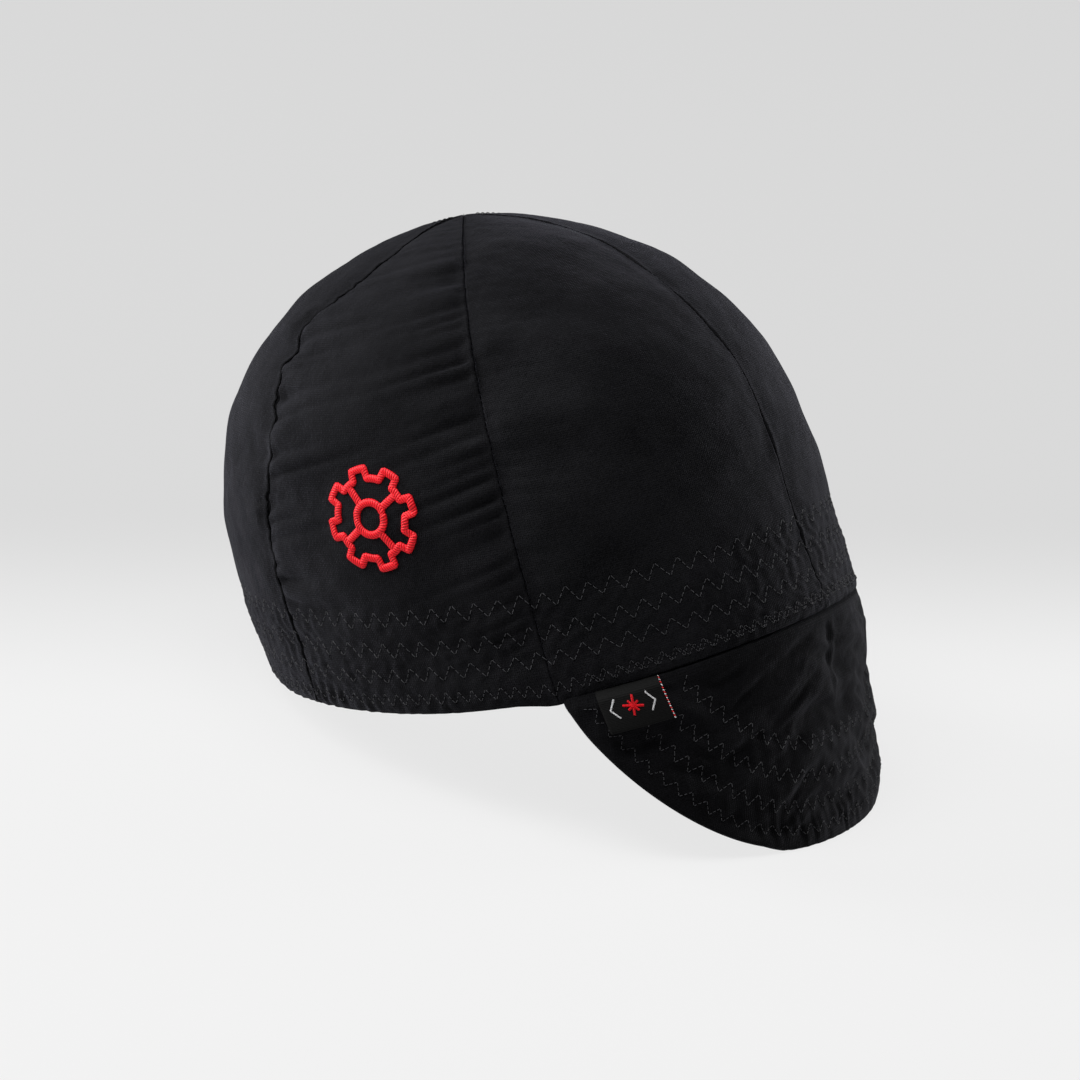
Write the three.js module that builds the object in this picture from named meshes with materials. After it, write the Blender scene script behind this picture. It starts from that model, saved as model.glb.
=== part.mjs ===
// Welding cap: six cloth panels above a stitched rim band, and a soft brim that droops at the front.
// Lengths are millimetres and angles are degrees. The brim points along -Y and up is +Z.
// Every piece is first worked out on an upright cap, with its rim near z = 0. The finished cap is
// then tipped back until it rests on the edge of its brim and on its rear hem, on z = 0.

import * as THREE from "three";

// Crown sizes
const OPENING_LENGTH = 202;
const OPENING_WIDTH = 173;
const CROWN_HEIGHT = 145;
const TOP_SWEEP = 13;
const FRONT_RIM_RISE = 11;
const REAR_RIM_RISE = 7.3;
const CLOTH_THICKNESS = 1.3;
const BAND_THICKNESS = 2.2;
const BAND_HEIGHT = 33;
const SEAM_GAP = 0.3;
const SEAM_DIP = 0.8;
const SEAM_DIP_WIDTH = 4;
const PANEL_PUFF = 1.2;
const FOLD_HEIGHT = 1.5;
const FOLD_WIDTH = 5;
const TIP_CLEARANCE = 1.6;

// How the crown rounds over from its wall to its top, how soon it sweeps back, how much wider its
// front half is, and how far each side swells
const SPREAD_POWER = 1.137;
const RISE_POWER = 0.683;
const SWEEP_RATE = 3;
const FRONT_FULLNESS = 0.04;
const FRONT_SWELL = 0.053;
const SIDE_SWELL = 0.087;
const REAR_SWELL = 0.053;

// Where the seams meet the rim, measured round the opening from the front
const FRONT_SEAM_ANGLE = 0;
const SIDE_SEAM_ANGLE = 63.4;
const REAR_SEAM_ANGLE = 118.1;
const BACK_SEAM_ANGLE = 180;

// Brim sizes
const BRIM_DEPTH = 73.5;
const BRIM_THICKNESS = 2.2;
const BRIM_TUCK = 8;
const BRIM_CLEARANCE = 0.35;
const BRIM_BLEND = 14;
const BRIM_DROOP = 93.5;
const BRIM_DROOP_EASE = 7.3;
const BRIM_END_LIFT = 16.8;
const BRIM_FAN = 1.165;
const BRIM_TAPER_POWER = 2.5;
const BRIM_CREASE = 1.6;
const BRIM_CREASE_WIDTH = 6;

// Side label sizes
const LABEL_WIDTH = 20.5;
const LABEL_HEIGHT = 13.5;
const LABEL_THICKNESS = 0.9;
const LABEL_CLEARANCE = 0.35;
const LABEL_DROP = 1;
const LABEL_PLACE_SHARE = 0.8;
const LABEL_LEAN_SHARE = 0.03;

// Side motif sizes: a cog wheel worked in satin stitch
const MOTIF_ANGLE = 89;
const MOTIF_HEIGHT = 64;
const MOTIF_RADIUS = 17;
const MOTIF_THICKNESS = 0.9;
const MOTIF_CLEARANCE = 0.35;
const MOTIF_STROKE = 2;
const MOTIF_TEETH = 8;
const MOTIF_SPOKES = 4;
const MOTIF_TURN = 12;

// Cloth lower than this over the floor is pressed flat on it
const SETTLE = 1.6;

// Grid counts
const CROWN_ROWS = 35;
const BAND_ROWS = 4;
const BRIM_COLUMNS = 34;
const BRIM_ROWS = 10;
const TUCK_ROWS = 2;

const radians = THREE.MathUtils.degToRad;

// A seam wanders off its straight meridian: each row says how far, as a share of a panel's width
const seamDrift = {
  front: [
    { rise: 0, drift: 0.01 },
    { rise: 0.2, drift: 0.022 },
    { rise: 0.5, drift: -0.012 },
    { rise: 0.6, drift: -0.005 },
    { rise: 0.82, drift: -0.065 },
    { rise: 1, drift: -0.03 },
  ],
  side: [
    { rise: 0, drift: 0 },
    { rise: 0.18, drift: -0.01 },
    { rise: 0.62, drift: 0.012 },
    { rise: 1, drift: 0 },
  ],
  rear: [
    { rise: 0, drift: 0 },
    { rise: 0.1, drift: -0.015 },
    { rise: 0.25, drift: 0.005 },
    { rise: 0.43, drift: -0.02 },
    { rise: 0.56, drift: 0.025 },
    { rise: 0.66, drift: 0.05 },
    { rise: 0.79, drift: -0.05 },
    { rise: 1, drift: 0 },
  ],
  straight: [
    { rise: 0, drift: 0 },
    { rise: 1, drift: 0 },
  ],
};

// Drag folds run from a seam and fade out. Places are shares of the panel across and up,
// and height and width are shares of FOLD_HEIGHT and FOLD_WIDTH. A valley has a height below zero.
const sidePanelFolds = [
  { across: 0, rise: 0.795, toAcross: 0.75, toRise: 0.77, height: 0.7, width: 0.9 },
  { across: 0, rise: 0.755, toAcross: 0.5, toRise: 0.735, height: -0.7, width: 0.8 },
  { across: 0, rise: 0.72, toAcross: 0.7, toRise: 0.68, height: 0.8, width: 0.9 },
  { across: 0, rise: 0.59, toAcross: 0.5, toRise: 0.565, height: -1, width: 1 },
  { across: 0, rise: 0.535, toAcross: 0.25, toRise: 0.525, height: -0.6, width: 0.7 },
  { across: 0, rise: 0.51, toAcross: 0.45, toRise: 0.48, height: 0.8, width: 0.8 },
  { across: 0, rise: 0.46, toAcross: 0.32, toRise: 0.455, height: -0.6, width: 0.7 },
  { across: 0, rise: 0.435, toAcross: 0.35, toRise: 0.425, height: 0.6, width: 0.7 },
  { across: 0, rise: 0.275, toAcross: 0.3, toRise: 0.25, height: -0.7, width: 0.9 },
  { across: 1, rise: 0.53, toAcross: 0.7, toRise: 0.545, height: -0.8, width: 0.9 },
  { across: 1, rise: 0.365, toAcross: 0.68, toRise: 0.385, height: -0.7, width: 0.9 },
  { across: 1, rise: 0.225, toAcross: 0.6, toRise: 0.2, height: -0.7, width: 0.9 },
];
const frontPanelFolds = [
  { across: 1, rise: 0.6, toAcross: 0.55, toRise: 0.61, height: 0.6, width: 1 },
  { across: 1, rise: 0.45, toAcross: 0.4, toRise: 0.47, height: 0.6, width: 1.1 },
  { across: 1, rise: 0.39, toAcross: 0.6, toRise: 0.4, height: -0.5, width: 1 },
  { across: 0, rise: 0.3, toAcross: 0.3, toRise: 0.27, height: -0.5, width: 1.1 },
];
const rearPanelFolds = [
  { across: 0, rise: 0.68, toAcross: 0.5, toRise: 0.64, height: 0.8, width: 1.1 },
  { across: 0, rise: 0.44, toAcross: 0.5, toRise: 0.42, height: -0.8, width: 1.1 },
  { across: 0, rise: 0.33, toAcross: 0.4, toRise: 0.3, height: 0.6, width: 1 },
  { across: 1, rise: 0.52, toAcross: 0.55, toRise: 0.49, height: -0.8, width: 1.1 },
  { across: 1, rise: 0.27, toAcross: 0.6, toRise: 0.24, height: -0.6, width: 1 },
];

// Panels of one half. Side 1 is the wearer's right, which lies towards -X.
const panels = [
  {
    name: "crown_panel_front_right", side: 1, columns: 10, folds: frontPanelFolds,
    from: { angle: FRONT_SEAM_ANGLE, drift: "front" }, to: { angle: SIDE_SEAM_ANGLE, drift: "side" },
  },
  {
    name: "crown_panel_side_right", side: 1, columns: 14, folds: sidePanelFolds,
    from: { angle: SIDE_SEAM_ANGLE, drift: "side" }, to: { angle: REAR_SEAM_ANGLE, drift: "rear" },
  },
  {
    name: "crown_panel_rear_right", side: 1, columns: 7, folds: rearPanelFolds,
    from: { angle: REAR_SEAM_ANGLE, drift: "rear" }, to: { angle: BACK_SEAM_ANGLE, drift: "straight" },
  },
  {
    name: "crown_panel_front_left", side: -1, columns: 7, folds: frontPanelFolds,
    from: { angle: FRONT_SEAM_ANGLE, drift: "front" }, to: { angle: SIDE_SEAM_ANGLE, drift: "straight" },
  },
  {
    name: "crown_panel_side_left", side: -1, columns: 8, folds: rearPanelFolds,
    from: { angle: SIDE_SEAM_ANGLE, drift: "straight" },
    to: { angle: REAR_SEAM_ANGLE, drift: "straight" },
  },
  {
    name: "crown_panel_rear_left", side: -1, columns: 7, folds: rearPanelFolds,
    from: { angle: REAR_SEAM_ANGLE, drift: "straight" },
    to: { angle: BACK_SEAM_ANGLE, drift: "straight" },
  },
];

// Small helpers

function ease(value) {
  const t = THREE.MathUtils.clamp(value, 0, 1);
  return t * t * (3 - 2 * t);
}

function readTable(rows, column, rise) {
  const last = rows.findIndex((row) => row.rise >= rise);
  if (last <= 0) return rows[0][column];
  const below = rows[last - 1];
  const above = rows[last];
  const share = ease((rise - below.rise) / (above.rise - below.rise));
  return THREE.MathUtils.lerp(below[column], above[column], share);
}

// Crown surface

// Point of the plain outer surface. Angle goes round from the front towards the wearer's right,
// and climb turns from 0 at the rim to a quarter turn at the top.
function crownPointAtClimb(angle, climb) {
  const front = Math.max(Math.cos(angle), 0) ** 2;
  const rear = Math.max(-Math.cos(angle), 0) ** 2;
  const side = 1 - front - rear;
  const swell = FRONT_SWELL * front + SIDE_SWELL * side + REAR_SWELL * rear;
  const spread = Math.max(Math.cos(climb), 0) ** SPREAD_POWER * (1 + swell * Math.sin(2 * climb));
  const rise = Math.max(Math.sin(climb), 0) ** RISE_POWER;
  const rimRise = FRONT_RIM_RISE * front + REAR_RIM_RISE * rear;
  const halfWidth = OPENING_WIDTH / 2 * (1 + FRONT_FULLNESS * Math.cos(angle));
  const swept = (1 - Math.exp(-SWEEP_RATE * rise)) / (1 - Math.exp(-SWEEP_RATE));
  return new THREE.Vector3(
    -halfWidth * Math.sin(angle) * spread,
    -OPENING_LENGTH / 2 * Math.cos(angle) * spread + TOP_SWEEP * swept,
    rimRise * (1 - rise) + CROWN_HEIGHT * rise,
  );
}

// Steps of climb along the side of the crown, with the cloth length from the rim to each
function measureMeridian(steps) {
  const table = [{ length: 0, climb: 0 }];
  let previous = crownPointAtClimb(Math.PI / 2, 0);
  for (let i = 1; i <= steps; i += 1) {
    const climb = Math.PI / 2 * (i / steps) ** 2;
    const point = crownPointAtClimb(Math.PI / 2, climb);
    table.push({ length: table[i - 1].length + point.distanceTo(previous), climb });
    previous = point;
  }
  return table;
}

const meridian = measureMeridian(600);
const MERIDIAN_LENGTH = meridian[meridian.length - 1].length;
const TIP_RISE = 1 - TIP_CLEARANCE / MERIDIAN_LENGTH;
const BAND_RISE = BAND_HEIGHT / MERIDIAN_LENGTH;

function climbAtRise(rise) {
  const wanted = THREE.MathUtils.clamp(rise, 0, 1) * MERIDIAN_LENGTH;
  const next = Math.max(1, meridian.findIndex((row) => row.length >= wanted));
  const below = meridian[next - 1];
  const above = meridian[next];
  const share = (wanted - below.length) / (above.length - below.length);
  return THREE.MathUtils.lerp(below.climb, above.climb, share);
}

// Rise is the share of the cloth's length from the rim, 0, to the top, 1
function crownPoint(angle, rise) {
  return crownPointAtClimb(angle, climbAtRise(rise));
}

// Millimetres of surface for one radian round the crown at this rise
function crownRadius(angle, rise) {
  const step = 0.001;
  return crownPoint(angle + step, rise).distanceTo(crownPoint(angle - step, rise)) / (2 * step);
}

function crownNormal(angle, rise) {
  const step = 0.002;
  const low = Math.max(rise - step, 0);
  const high = Math.min(rise + step, 1);
  const up = crownPoint(angle, high).sub(crownPoint(angle, low));
  const round = crownPoint(angle + step, rise).sub(crownPoint(angle - step, rise));
  return up.cross(round).normalize();
}

const RIM_PANEL_WIDTH = OPENING_WIDTH / 2 * radians(SIDE_SEAM_ANGLE - FRONT_SEAM_ANGLE);

function seamAngle(seam, side, rise) {
  const centred = seam.drift === "front" ? side : 1;
  const drift = centred * readTable(seamDrift[seam.drift], "drift", rise) * RIM_PANEL_WIDTH;
  return radians(seam.angle) + drift / crownRadius(radians(seam.angle), Math.min(rise, 0.9));
}

// Height of one fold at a place on its panel, all in millimetres
function foldHeight(fold, across, rise, width) {
  const start = new THREE.Vector2(fold.across * width, fold.rise * MERIDIAN_LENGTH);
  const end = new THREE.Vector2(fold.toAcross * width, fold.toRise * MERIDIAN_LENGTH);
  const place = new THREE.Vector2(across * width, rise * MERIDIAN_LENGTH);
  const run = end.clone().sub(start);
  const along = THREE.MathUtils.clamp(place.clone().sub(start).dot(run) / run.lengthSq(), 0, 1);
  const away = place.distanceTo(start.addScaledVector(run, along)) / (fold.width * FOLD_WIDTH);
  return fold.height * FOLD_HEIGHT * (1 - ease(along)) * Math.exp(-away * away);
}

// How far the cloth stands out from the plain surface: puffed between seams, dipped at them, folded
function panelRelief(panel, across, rise, width) {
  const toSeam = Math.min(across, 1 - across) * width;
  const fullness = Math.min(1, width / (RIM_PANEL_WIDTH / 2)) * ease(rise / BAND_RISE);
  const puff = PANEL_PUFF * (Math.sin(Math.PI * across) - 0.6) * fullness;
  const dip = SEAM_DIP * Math.exp(-((toSeam / SEAM_DIP_WIDTH) ** 2)) * fullness;
  const folds = panel.folds.reduce((sum, fold) => sum + foldHeight(fold, across, rise, width), 0);
  return puff - dip + folds * ease(toSeam / FOLD_WIDTH) * fullness;
}

function wallThickness(rise) {
  const edge = FOLD_WIDTH / MERIDIAN_LENGTH;
  return THREE.MathUtils.lerp(BAND_THICKNESS, CLOTH_THICKNESS, ease((rise - BAND_RISE) / edge));
}

// Point of a panel, depth millimetres under its outer face
function panelPoint(panel, across, rise, depth) {
  const first = seamAngle(panel.from, panel.side, rise);
  const last = seamAngle(panel.to, panel.side, rise);
  const middle = (first + last) / 2;
  const width = (last - first) * crownRadius(middle, rise);
  const inset = SEAM_GAP / 2 / crownRadius(middle, rise);
  const angle = THREE.MathUtils.lerp(first + inset, last - inset, across);
  const point = crownPoint(angle, rise);
  const lift = panelRelief(panel, across, rise, width) - depth;
  point.addScaledVector(crownNormal(angle, rise), lift);
  point.x *= panel.side;
  return point;
}

function crownRises() {
  const rises = [];
  for (let i = 0; i < BAND_ROWS; i += 1) rises.push(BAND_RISE * i / (BAND_ROWS - 1));
  const above = CROWN_ROWS - BAND_ROWS;
  for (let i = 1; i <= above; i += 1) rises.push(THREE.MathUtils.lerp(BAND_RISE, TIP_RISE, i / above));
  return rises;
}

// Solids between two grids of points

// The front grid and the back grid are lists of rows of Vector3, and a wall closes their four edges
function shellGeometry(front, back) {
  const rows = front.length;
  const columns = front[0].length;
  const positions = [];
  for (const grid of [front, back]) {
    for (const row of grid) {
      for (const point of row) positions.push(point.x, point.y, point.z);
    }
  }
  const indices = [];
  const at = (layer, i, j) => layer * rows * columns + i * columns + j;
  const quad = (a, b, c, d) => indices.push(a, b, c, a, c, d);
  for (let i = 0; i < rows - 1; i += 1) {
    for (let j = 0; j < columns - 1; j += 1) {
      quad(at(0, i, j), at(0, i, j + 1), at(0, i + 1, j + 1), at(0, i + 1, j));
      quad(at(1, i, j), at(1, i + 1, j), at(1, i + 1, j + 1), at(1, i, j + 1));
    }
    quad(at(0, i, 0), at(0, i + 1, 0), at(1, i + 1, 0), at(1, i, 0));
    const last = columns - 1;
    quad(at(0, i, last), at(1, i, last), at(1, i + 1, last), at(0, i + 1, last));
  }
  for (let j = 0; j < columns - 1; j += 1) {
    quad(at(0, 0, j), at(1, 0, j), at(1, 0, j + 1), at(0, 0, j + 1));
    quad(at(0, rows - 1, j), at(0, rows - 1, j + 1), at(1, rows - 1, j + 1), at(1, rows - 1, j));
  }
  return closedGeometry(positions, indices);
}

// Signed volume of a closed triangle mesh, times six
function sixVolumes(positions, indices) {
  const corner = (k) => new THREE.Vector3().fromArray(positions, indices[k] * 3);
  let sum = 0;
  for (let k = 0; k < indices.length; k += 3) {
    sum += corner(k).dot(corner(k + 1).cross(corner(k + 2)));
  }
  return sum;
}

function closedGeometry(positions, indices) {
  if (sixVolumes(positions, indices) < 0) indices.reverse();
  const geometry = new THREE.BufferGeometry();
  geometry.setAttribute("position", new THREE.Float32BufferAttribute(positions, 3));
  geometry.setIndex(indices);
  return geometry;
}

function panelGeometry(panel) {
  const layer = (buried) => crownRises().map((rise) => {
    const depth = buried * wallThickness(rise);
    return Array.from({ length: panel.columns + 1 }, (_, j) => (
      panelPoint(panel, j / panel.columns, rise, depth)
    ));
  });
  return shellGeometry(layer(0), layer(1));
}

// Brim

// Place runs from -1 at the left end of the brim to 1 at its right end
function brimAngle(place) {
  return radians(SIDE_SEAM_ANGLE) * place;
}

function brimReach(place) {
  return BRIM_DEPTH * Math.max(1 - Math.abs(place) ** BRIM_TAPER_POWER, 0);
}

function brimTuck(place) {
  return BRIM_TUCK * (1 - Math.abs(place) ** 6);
}

// Unit direction in which the brim hangs from the rim
function brimDirection(place) {
  const turn = BRIM_FAN * brimAngle(place);
  const outward = new THREE.Vector2(
    -Math.sin(turn) / OPENING_WIDTH,
    -Math.cos(turn) / OPENING_LENGTH,
  ).normalize();
  const droop = radians(BRIM_DROOP - BRIM_DROOP_EASE * place ** 2 - BRIM_END_LIFT * place ** 4);
  return new THREE.Vector3(
    outward.x * Math.cos(droop),
    outward.y * Math.cos(droop),
    -Math.sin(droop),
  );
}

// Creases in the brim: a pinch under the front seam and a slack fold beside it.
// Places are shares of the brim's half span, drops are shares of its depth.
const brimCreases = [
  { place: 0, drop: 0, toPlace: -0.05, toDrop: 0.4, height: -0.8 },
  { place: 0.56, drop: 0.26, toPlace: 0.37, toDrop: 0.3, height: -0.8 },
  { place: 0.3, drop: 0.42, toPlace: -0.05, toDrop: 0.46, height: -1 },
  { place: 0.3, drop: 0.52, toPlace: -0.05, toDrop: 0.56, height: 0.5 },
];

function brimRelief(place, reach) {
  const span = radians(SIDE_SEAM_ANGLE) * OPENING_WIDTH / 2;
  const spot = new THREE.Vector2(place * span, reach);
  return brimCreases.reduce((sum, crease) => {
    const start = new THREE.Vector2(crease.place * span, crease.drop * BRIM_DEPTH);
    const end = new THREE.Vector2(crease.toPlace * span, crease.toDrop * BRIM_DEPTH);
    const run = end.clone().sub(start);
    const along = THREE.MathUtils.clamp(spot.clone().sub(start).dot(run) / run.lengthSq(), 0, 1);
    const away = spot.distanceTo(start.addScaledVector(run, along)) / BRIM_CREASE_WIDTH;
    return sum + crease.height * BRIM_CREASE * Math.exp(-away * away);
  }, 0) * ease(reach / BRIM_CREASE_WIDTH);
}

// Outer face of the brim. Reach is the distance from the rim, below zero inside the band.
function brimOuter(place, reach) {
  const angle = brimAngle(place);
  const tucked = BAND_THICKNESS + BRIM_CLEARANCE;
  if (reach < 0) {
    const rise = -reach / MERIDIAN_LENGTH;
    return crownPoint(angle, rise).addScaledVector(crownNormal(angle, rise), -tucked);
  }
  const inset = tucked * (1 - ease(reach / BRIM_BLEND));
  return crownPoint(angle, 0)
    .addScaledVector(crownNormal(angle, 0), -inset)
    .addScaledVector(brimDirection(place), reach);
}

function brimNormal(place, reach) {
  const step = 0.004;
  const span = brimOuter(place + step, reach).sub(brimOuter(place - step, reach));
  const drop = brimOuter(place, reach + 1).sub(brimOuter(place, reach - 1));
  return span.cross(drop).normalize();
}

// Point of the brim, depth millimetres under its outer face
function brimPoint(place, reach, depth) {
  const lift = brimRelief(place, reach) - depth;
  return brimOuter(place, reach).addScaledVector(brimNormal(place, reach), lift);
}

function brimGeometry() {
  const endPlace = 0.985;
  const layer = (depth) => {
    const grid = [];
    for (let i = -TUCK_ROWS; i <= BRIM_ROWS; i += 1) {
      const row = [];
      for (let j = 0; j <= BRIM_COLUMNS; j += 1) {
        const place = endPlace * (2 * j / BRIM_COLUMNS - 1);
        const reach = i < 0 ? brimTuck(place) * i / TUCK_ROWS : brimReach(place) * i / BRIM_ROWS;
        row.push(brimPoint(place, reach, depth));
      }
      grid.push(row);
    }
    return grid;
  };
  return shellGeometry(layer(0), layer(BRIM_THICKNESS));
}

// Side label: a folded tag that hangs from the brim seam on the wearer's right

function labelGeometry() {
  const columns = 8;
  const rows = 4;
  const layer = (height) => {
    const grid = [];
    for (let i = 0; i <= rows; i += 1) {
      const reach = LABEL_DROP + LABEL_HEIGHT * i / rows;
      const centre = LABEL_PLACE_SHARE - LABEL_LEAN_SHARE * i / rows;
      const step = 0.01;
      const span = brimPoint(centre + step, reach, 0).distanceTo(brimPoint(centre - step, reach, 0));
      const placePerMillimetre = 2 * step / span;
      const row = [];
      for (let j = 0; j <= columns; j += 1) {
        const place = centre + LABEL_WIDTH * (j / columns - 0.5) * placePerMillimetre;
        row.push(brimPoint(place, reach, -height));
      }
      grid.push(row);
    }
    return grid;
  };
  return shellGeometry(layer(LABEL_CLEARANCE + LABEL_THICKNESS), layer(LABEL_CLEARANCE));
}

// Side motif: a cog wheel with a hub ring and spokes, raised on the right side panel

// Outline of the cog, grown outwards by half a stroke or shrunk by it
function cogOutline(grow) {
  const rootRadius = MOTIF_RADIUS * 0.74;
  const pitch = 2 * Math.PI / MOTIF_TEETH;
  const points = [];
  for (let tooth = 0; tooth < MOTIF_TEETH; tooth += 1) {
    const centre = tooth * pitch;
    const tip = MOTIF_RADIUS - MOTIF_STROKE / 2 + grow;
    const root = rootRadius + grow;
    const tipHalf = pitch * 0.2 + grow / tip;
    const rootHalf = pitch * 0.27 + grow / root;
    const corners = [
      { turn: -rootHalf, radius: root },
      { turn: -tipHalf, radius: tip },
      { turn: 0, radius: tip },
      { turn: tipHalf, radius: tip },
      { turn: rootHalf, radius: root },
      { turn: pitch / 2, radius: root },
    ];
    for (const corner of corners) points.push({ turn: centre + corner.turn, radius: corner.radius });
  }
  return points;
}

function polar(point) {
  return new THREE.Vector2(point.radius * Math.cos(point.turn), point.radius * Math.sin(point.turn));
}

// Closed outlines of the motif: the cog, then the openings at its hub and between its spokes
function motifOutlines() {
  const hubRadius = MOTIF_RADIUS * 0.3;
  const half = MOTIF_STROKE / 2;
  const rootRadius = MOTIF_RADIUS * 0.74 - half;
  const ringRadius = hubRadius + half;
  const sector = 2 * Math.PI / MOTIF_SPOKES;
  const firstSpoke = Math.PI / MOTIF_TEETH;
  const hub = Array.from({ length: 12 }, (_, i) => ({ turn: -Math.PI * i / 6, radius: hubRadius - half }));
  const openings = [hub];
  for (let k = 0; k < MOTIF_SPOKES; k += 1) {
    const start = firstSpoke + k * sector;
    const rimStart = start + half / rootRadius;
    const rimEnd = start + sector - half / rootRadius;
    const fromStart = (turn) => start + THREE.MathUtils.euclideanModulo(turn - start, 2 * Math.PI);
    const rim = cogOutline(-half)
      .map(({ turn, radius }) => ({ turn: fromStart(turn), radius }))
      .filter(({ turn }) => turn > rimStart + 0.02 && turn < rimEnd - 0.02)
      .sort((a, b) => a.turn - b.turn);
    const ring = Array.from({ length: 5 }, (_, i) => {
      const share = i / 4;
      const turn = start + THREE.MathUtils.lerp(half / ringRadius, sector - half / ringRadius, share);
      return { turn, radius: ringRadius };
    });
    const side = [{ turn: rimStart, radius: rootRadius }, ...rim, { turn: rimEnd, radius: rootRadius }];
    openings.push([...ring, ...side.reverse()]);
  }
  return [cogOutline(half), ...openings].map((outline) => outline.map(polar));
}

// Place of the motif on the right side panel: across and up in millimetres from its middle
function motifPoint(x, y, height) {
  const panel = panels.find((entry) => entry.name === "crown_panel_side_right");
  const rise = (MOTIF_HEIGHT + y) / MERIDIAN_LENGTH;
  const first = seamAngle(panel.from, panel.side, rise);
  const last = seamAngle(panel.to, panel.side, rise);
  const angle = radians(MOTIF_ANGLE) - x / crownRadius(radians(MOTIF_ANGLE), rise);
  return panelPoint(panel, (angle - first) / (last - first), rise, -height);
}

function motifGeometry() {
  const turn = radians(MOTIF_TURN);
  const outlines = motifOutlines();
  outlines.forEach((outline, i) => {
    if (THREE.ShapeUtils.isClockWise(outline) !== (i > 0)) outline.reverse();
  });
  const faces = THREE.ShapeUtils.triangulateShape(outlines[0], outlines.slice(1));
  const flat = outlines.flat();
  const place = (point, height) => motifPoint(
    point.x * Math.cos(turn) - point.y * Math.sin(turn),
    point.x * Math.sin(turn) + point.y * Math.cos(turn),
    height,
  );
  const top = flat.map((point) => place(point, MOTIF_CLEARANCE + MOTIF_THICKNESS));
  const bottom = flat.map((point) => place(point, MOTIF_CLEARANCE));
  const positions = [...top, ...bottom].flatMap((point) => point.toArray());
  const indices = [];
  for (const [a, b, c] of faces) {
    indices.push(a, b, c, a + flat.length, c + flat.length, b + flat.length);
  }
  let first = 0;
  for (const outline of outlines) {
    for (let i = 0; i < outline.length; i += 1) {
      const here = first + i;
      const next = first + (i + 1) % outline.length;
      indices.push(here, here + flat.length, next + flat.length, here, next + flat.length, next);
    }
    first += outline.length;
  }
  return closedGeometry(positions, indices);
}

// Materials

const blackCloth = new THREE.MeshStandardMaterial({ color: 0x17181b, roughness: 0.85, metalness: 0 });
const brimCloth = new THREE.MeshStandardMaterial({ color: 0x131416, roughness: 0.85, metalness: 0 });
const labelCloth = new THREE.MeshStandardMaterial({ color: 0x101012, roughness: 0.7, metalness: 0 });
const redThread = new THREE.MeshStandardMaterial({ color: 0xe0262b, roughness: 0.5, metalness: 0 });

// Resting pose

// Height of a point once the upright cap is tipped back by tilt
function tippedHeight(point, tilt) {
  return point.z * Math.cos(tilt) - point.y * Math.sin(tilt);
}

function lowest(points, tilt) {
  return Math.min(...points.map((point) => tippedHeight(point, tilt)));
}

// The tilt at which the brim's edge and the rear hem touch the same floor, found by halving
function restingTilt(brimEdge, rearHem) {
  let low = 0;
  let high = Math.PI / 3;
  for (let i = 0; i < 50; i += 1) {
    const middle = (low + high) / 2;
    if (lowest(brimEdge, middle) < lowest(rearHem, middle)) low = middle;
    else high = middle;
  }
  return low;
}

function samplePoints(count, makePoint) {
  return Array.from({ length: count + 1 }, (_, i) => makePoint(i / count));
}

const brimEdge = samplePoints(80, (share) => brimPoint(share - 0.5, brimReach(share - 0.5), 0));
const rearHem = samplePoints(80, (share) => crownPoint(radians(140 + 80 * share), 0));
const restTilt = restingTilt(brimEdge, rearHem);
const floorHeight = lowest([...brimEdge, ...rearHem], restTilt);

// Cloth next to the floor spreads on it, and above three times SETTLE nothing changes
function pressedHeight(height) {
  if (height > 3 * SETTLE) return height;
  return Math.max(height - SETTLE, 0) * 1.5;
}

// Tips the upright geometry back, stands it on z = 0 and presses its lowest edges flat
function restGeometry(geometry) {
  const position = geometry.getAttribute("position");
  const point = new THREE.Vector3();
  for (let i = 0; i < position.count; i += 1) {
    point.fromBufferAttribute(position, i);
    const height = tippedHeight(point, restTilt) - floorHeight;
    const back = point.y * Math.cos(restTilt) + point.z * Math.sin(restTilt);
    position.setXYZ(i, point.x, back, pressedHeight(height));
  }
  return geometry;
}

// Assembly

const cap = new THREE.Group();

function addPiece(name, geometry, material) {
  const mesh = new THREE.Mesh(restGeometry(geometry), material);
  mesh.name = name;
  cap.add(mesh);
}

for (const panel of panels) addPiece(panel.name, panelGeometry(panel), blackCloth.clone());
addPiece("brim", brimGeometry(), brimCloth);
addPiece("side_label", labelGeometry(), labelCloth);
addPiece("side_motif", motifGeometry(), redThread);

// The origin lies on the floor under the middle of the cap, front to back
const bounds = new THREE.Box3().setFromObject(cap);
cap.position.y = -(bounds.min.y + bounds.max.y) / 2;
cap.updateMatrixWorld(true);

export default cap;
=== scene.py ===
# %% [markdown]
# # A welding cap, dressed for the camera
#
# A welding cap is a soft cotton cap: six panels are sewn into a round crown, a deep band of zigzag
# stitching stiffens the rim, and a short soft brim hangs down over the eyes. A flat tag is caught in
# the brim seam, and a small design is embroidered on the wearer's right side.
#
# The frame holds the plain solids. This notebook replaces each of them by cloth with its real
# wrinkles, seams and thread. Lengths are in millimetres until the last step turns them to metres.
# The cap is first worked out upright, with its rim near z = 0 and its brim towards -Y, and is then
# tipped back as it lies on a table.

# %% Load the frame
import bpy
import numpy as np
from mathutils import Matrix, Vector


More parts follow.
